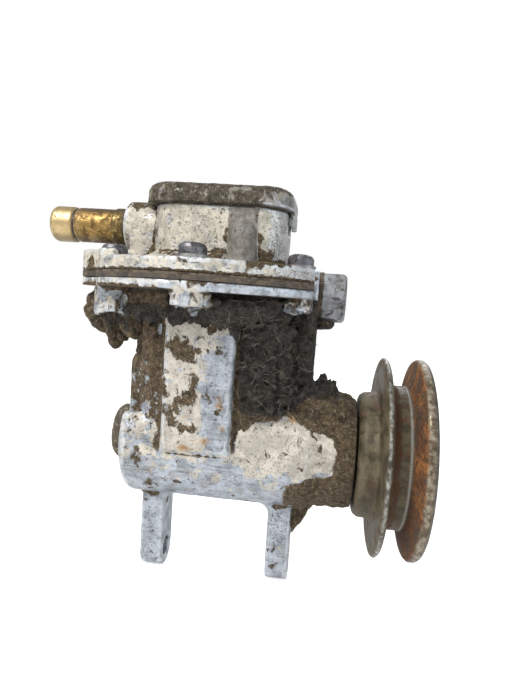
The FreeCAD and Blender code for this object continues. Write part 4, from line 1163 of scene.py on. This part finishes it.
tail_outline = [
    (-39.5, 4.6), (-39.5, 6.9), (-44.5, 6.9), (-44.5, 7.6), (-49.8, 7.6), (-50.2, 7.1),
    (-65.9, 7.1), (-66.3, 6.75), (-67.5, 6.75), (-67.9, 7.35), (-75.6, 7.35), (-76.8, 6.7),
    (-77.2, 5.8), (-77.2, 4.6)]
hose_tail = turned(
    "hose_tail_turned", tail_outline, TAIL_HEIGHT, "casing", around=128, dent=0.03, seed=47,
    cut=0.3)
hose_tail.data.materials.append(tail_brass())
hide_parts("hose_tail")

# %% [markdown]
# The remaining pieces keep their frame shape. A few metals, a rubber and a
# fibre cover them, each with its own grain, stain and roughness.

# %% Plain metals and soft sheet
def stock(name, low, high, dirt, metallic, rough, stain=0.42, size=1200.0, depth=0.00012):
    """Tone from low to high, with ragged stains of dirt, over cast or cut grain."""
    material, tree, shader, place = start(name)
    grain = use(tree, cast_grain, Position=place, Size=size)
    spot = use(tree, ragged_patch, Position=place, Amount=stain, Size=380.0, Ragged=1.5, Edge=0.10)
    base = blend_colour(
        tree, smooth_step(tree, grain["Tone"], 0.3, 0.7), colour(*low), colour(*high))
    base = lay(tree, base, grain["Pits"], 0.5, colour(*dirt))
    base = lay(tree, base, spot["Mask"], 0.85, colour(*dirt))
    tree.links.new(base, shader.inputs["Base Color"])
    tree.links.new(
        blend_value(tree, spot["Mask"], metallic, metallic * 0.15), shader.inputs["Metallic"])
    tree.links.new(
        blend_value(
            tree, spot["Mask"],
            blend_value(tree, grain["Tone"], rough * 0.8, min(1.0, rough * 1.25)), 0.85),
        shader.inputs["Roughness"])
    bump(tree, shader, plus(tree, grain["Height"], times(tree, spot["Mask"], 0.6)), depth, 0.7)
    return material


FINISHES = {
    "dark_screw_steel": (
        ((0.10, 0.10, 0.11), (0.22, 0.22, 0.24), (0.03, 0.025, 0.02), 0.8, 0.36, 0.40),
        ["flange_screws", "lid_screws", "diaphragm_screw", "eccentric_set_screw"]),
    "washer_steel": (
        ((0.20, 0.20, 0.20), (0.45, 0.45, 0.45), (0.07, 0.055, 0.04), 0.75, 0.42, 0.40),
        ["flange_washers", "pulley_lock_washer", "pulley_nut", "bearing_snap_ring"]),
    "plug_steel": (
        ((0.17, 0.175, 0.185), (0.36, 0.38, 0.41), (0.055, 0.045, 0.032), 0.7, 0.40, 0.42),
        ["filler_plug"]),
    "cap_steel": (
        ((0.055, 0.045, 0.034), (0.12, 0.10, 0.075), (0.44, 0.40, 0.32), 0.2, 0.70, 0.40),
        ["rear_end_cap"]),
    "ground_steel": (
        ((0.45, 0.45, 0.46), (0.62, 0.62, 0.63), (0.16, 0.11, 0.06), 0.95, 0.24, 0.26),
        [
            "drive_shaft", "pulley_key", "eccentric", "counterweight", "front_inner_race",
            "front_outer_race", "rear_inner_race", "rear_outer_race", "front_balls", "rear_balls",
            "inlet_valve_spring", "outlet_valve_spring", "front_ball_cage", "rear_ball_cage"]),
    "clean_aluminium": (
        ((0.60, 0.60, 0.61), (0.74, 0.74, 0.75), (0.25, 0.20, 0.13), 0.85, 0.36, 0.28),
        ["connecting_rod", "lower_diaphragm_plate", "upper_diaphragm_plate"]),
    "valve_brass": (
        ((0.50, 0.36, 0.15), (0.70, 0.53, 0.26), (0.16, 0.10, 0.04), 0.85, 0.34, 0.32),
        [
            "inlet_valve_seat", "outlet_valve_seat", "inlet_valve_cage", "outlet_valve_cage",
            "intake_gauze"]),
    "bush_bronze": (
        ((0.38, 0.22, 0.10), (0.56, 0.36, 0.18), (0.12, 0.08, 0.04), 0.85, 0.34, 0.30),
        ["big_end_bush"]),
    "black_rubber": (
        ((0.035, 0.03, 0.026), (0.085, 0.07, 0.055), (0.15, 0.11, 0.075), 0.0, 0.7, 0.40),
        ["diaphragm", "shaft_seal"]),
    "oily_fibre": (
        ((0.070, 0.052, 0.036), (0.16, 0.125, 0.090), (0.035, 0.026, 0.016), 0.0, 0.85, 0.46),
        ["head_gasket", "lid_gasket", "plug_washer"]),
    "valve_disc_plastic": (
        ((0.60, 0.55, 0.42), (0.74, 0.69, 0.55), (0.25, 0.18, 0.10), 0.0, 0.5, 0.30),
        ["inlet_valve_disc", "outlet_valve_disc"]),
    }
for finish, (values, wearers) in FINISHES.items():
    made = stock(finish, *values)
    for wearer in wearers:
        target = nodes[wearer]
        target.data.materials.clear()
        target.data.materials.append(made)
print("plain finishes:", len(FINISHES))
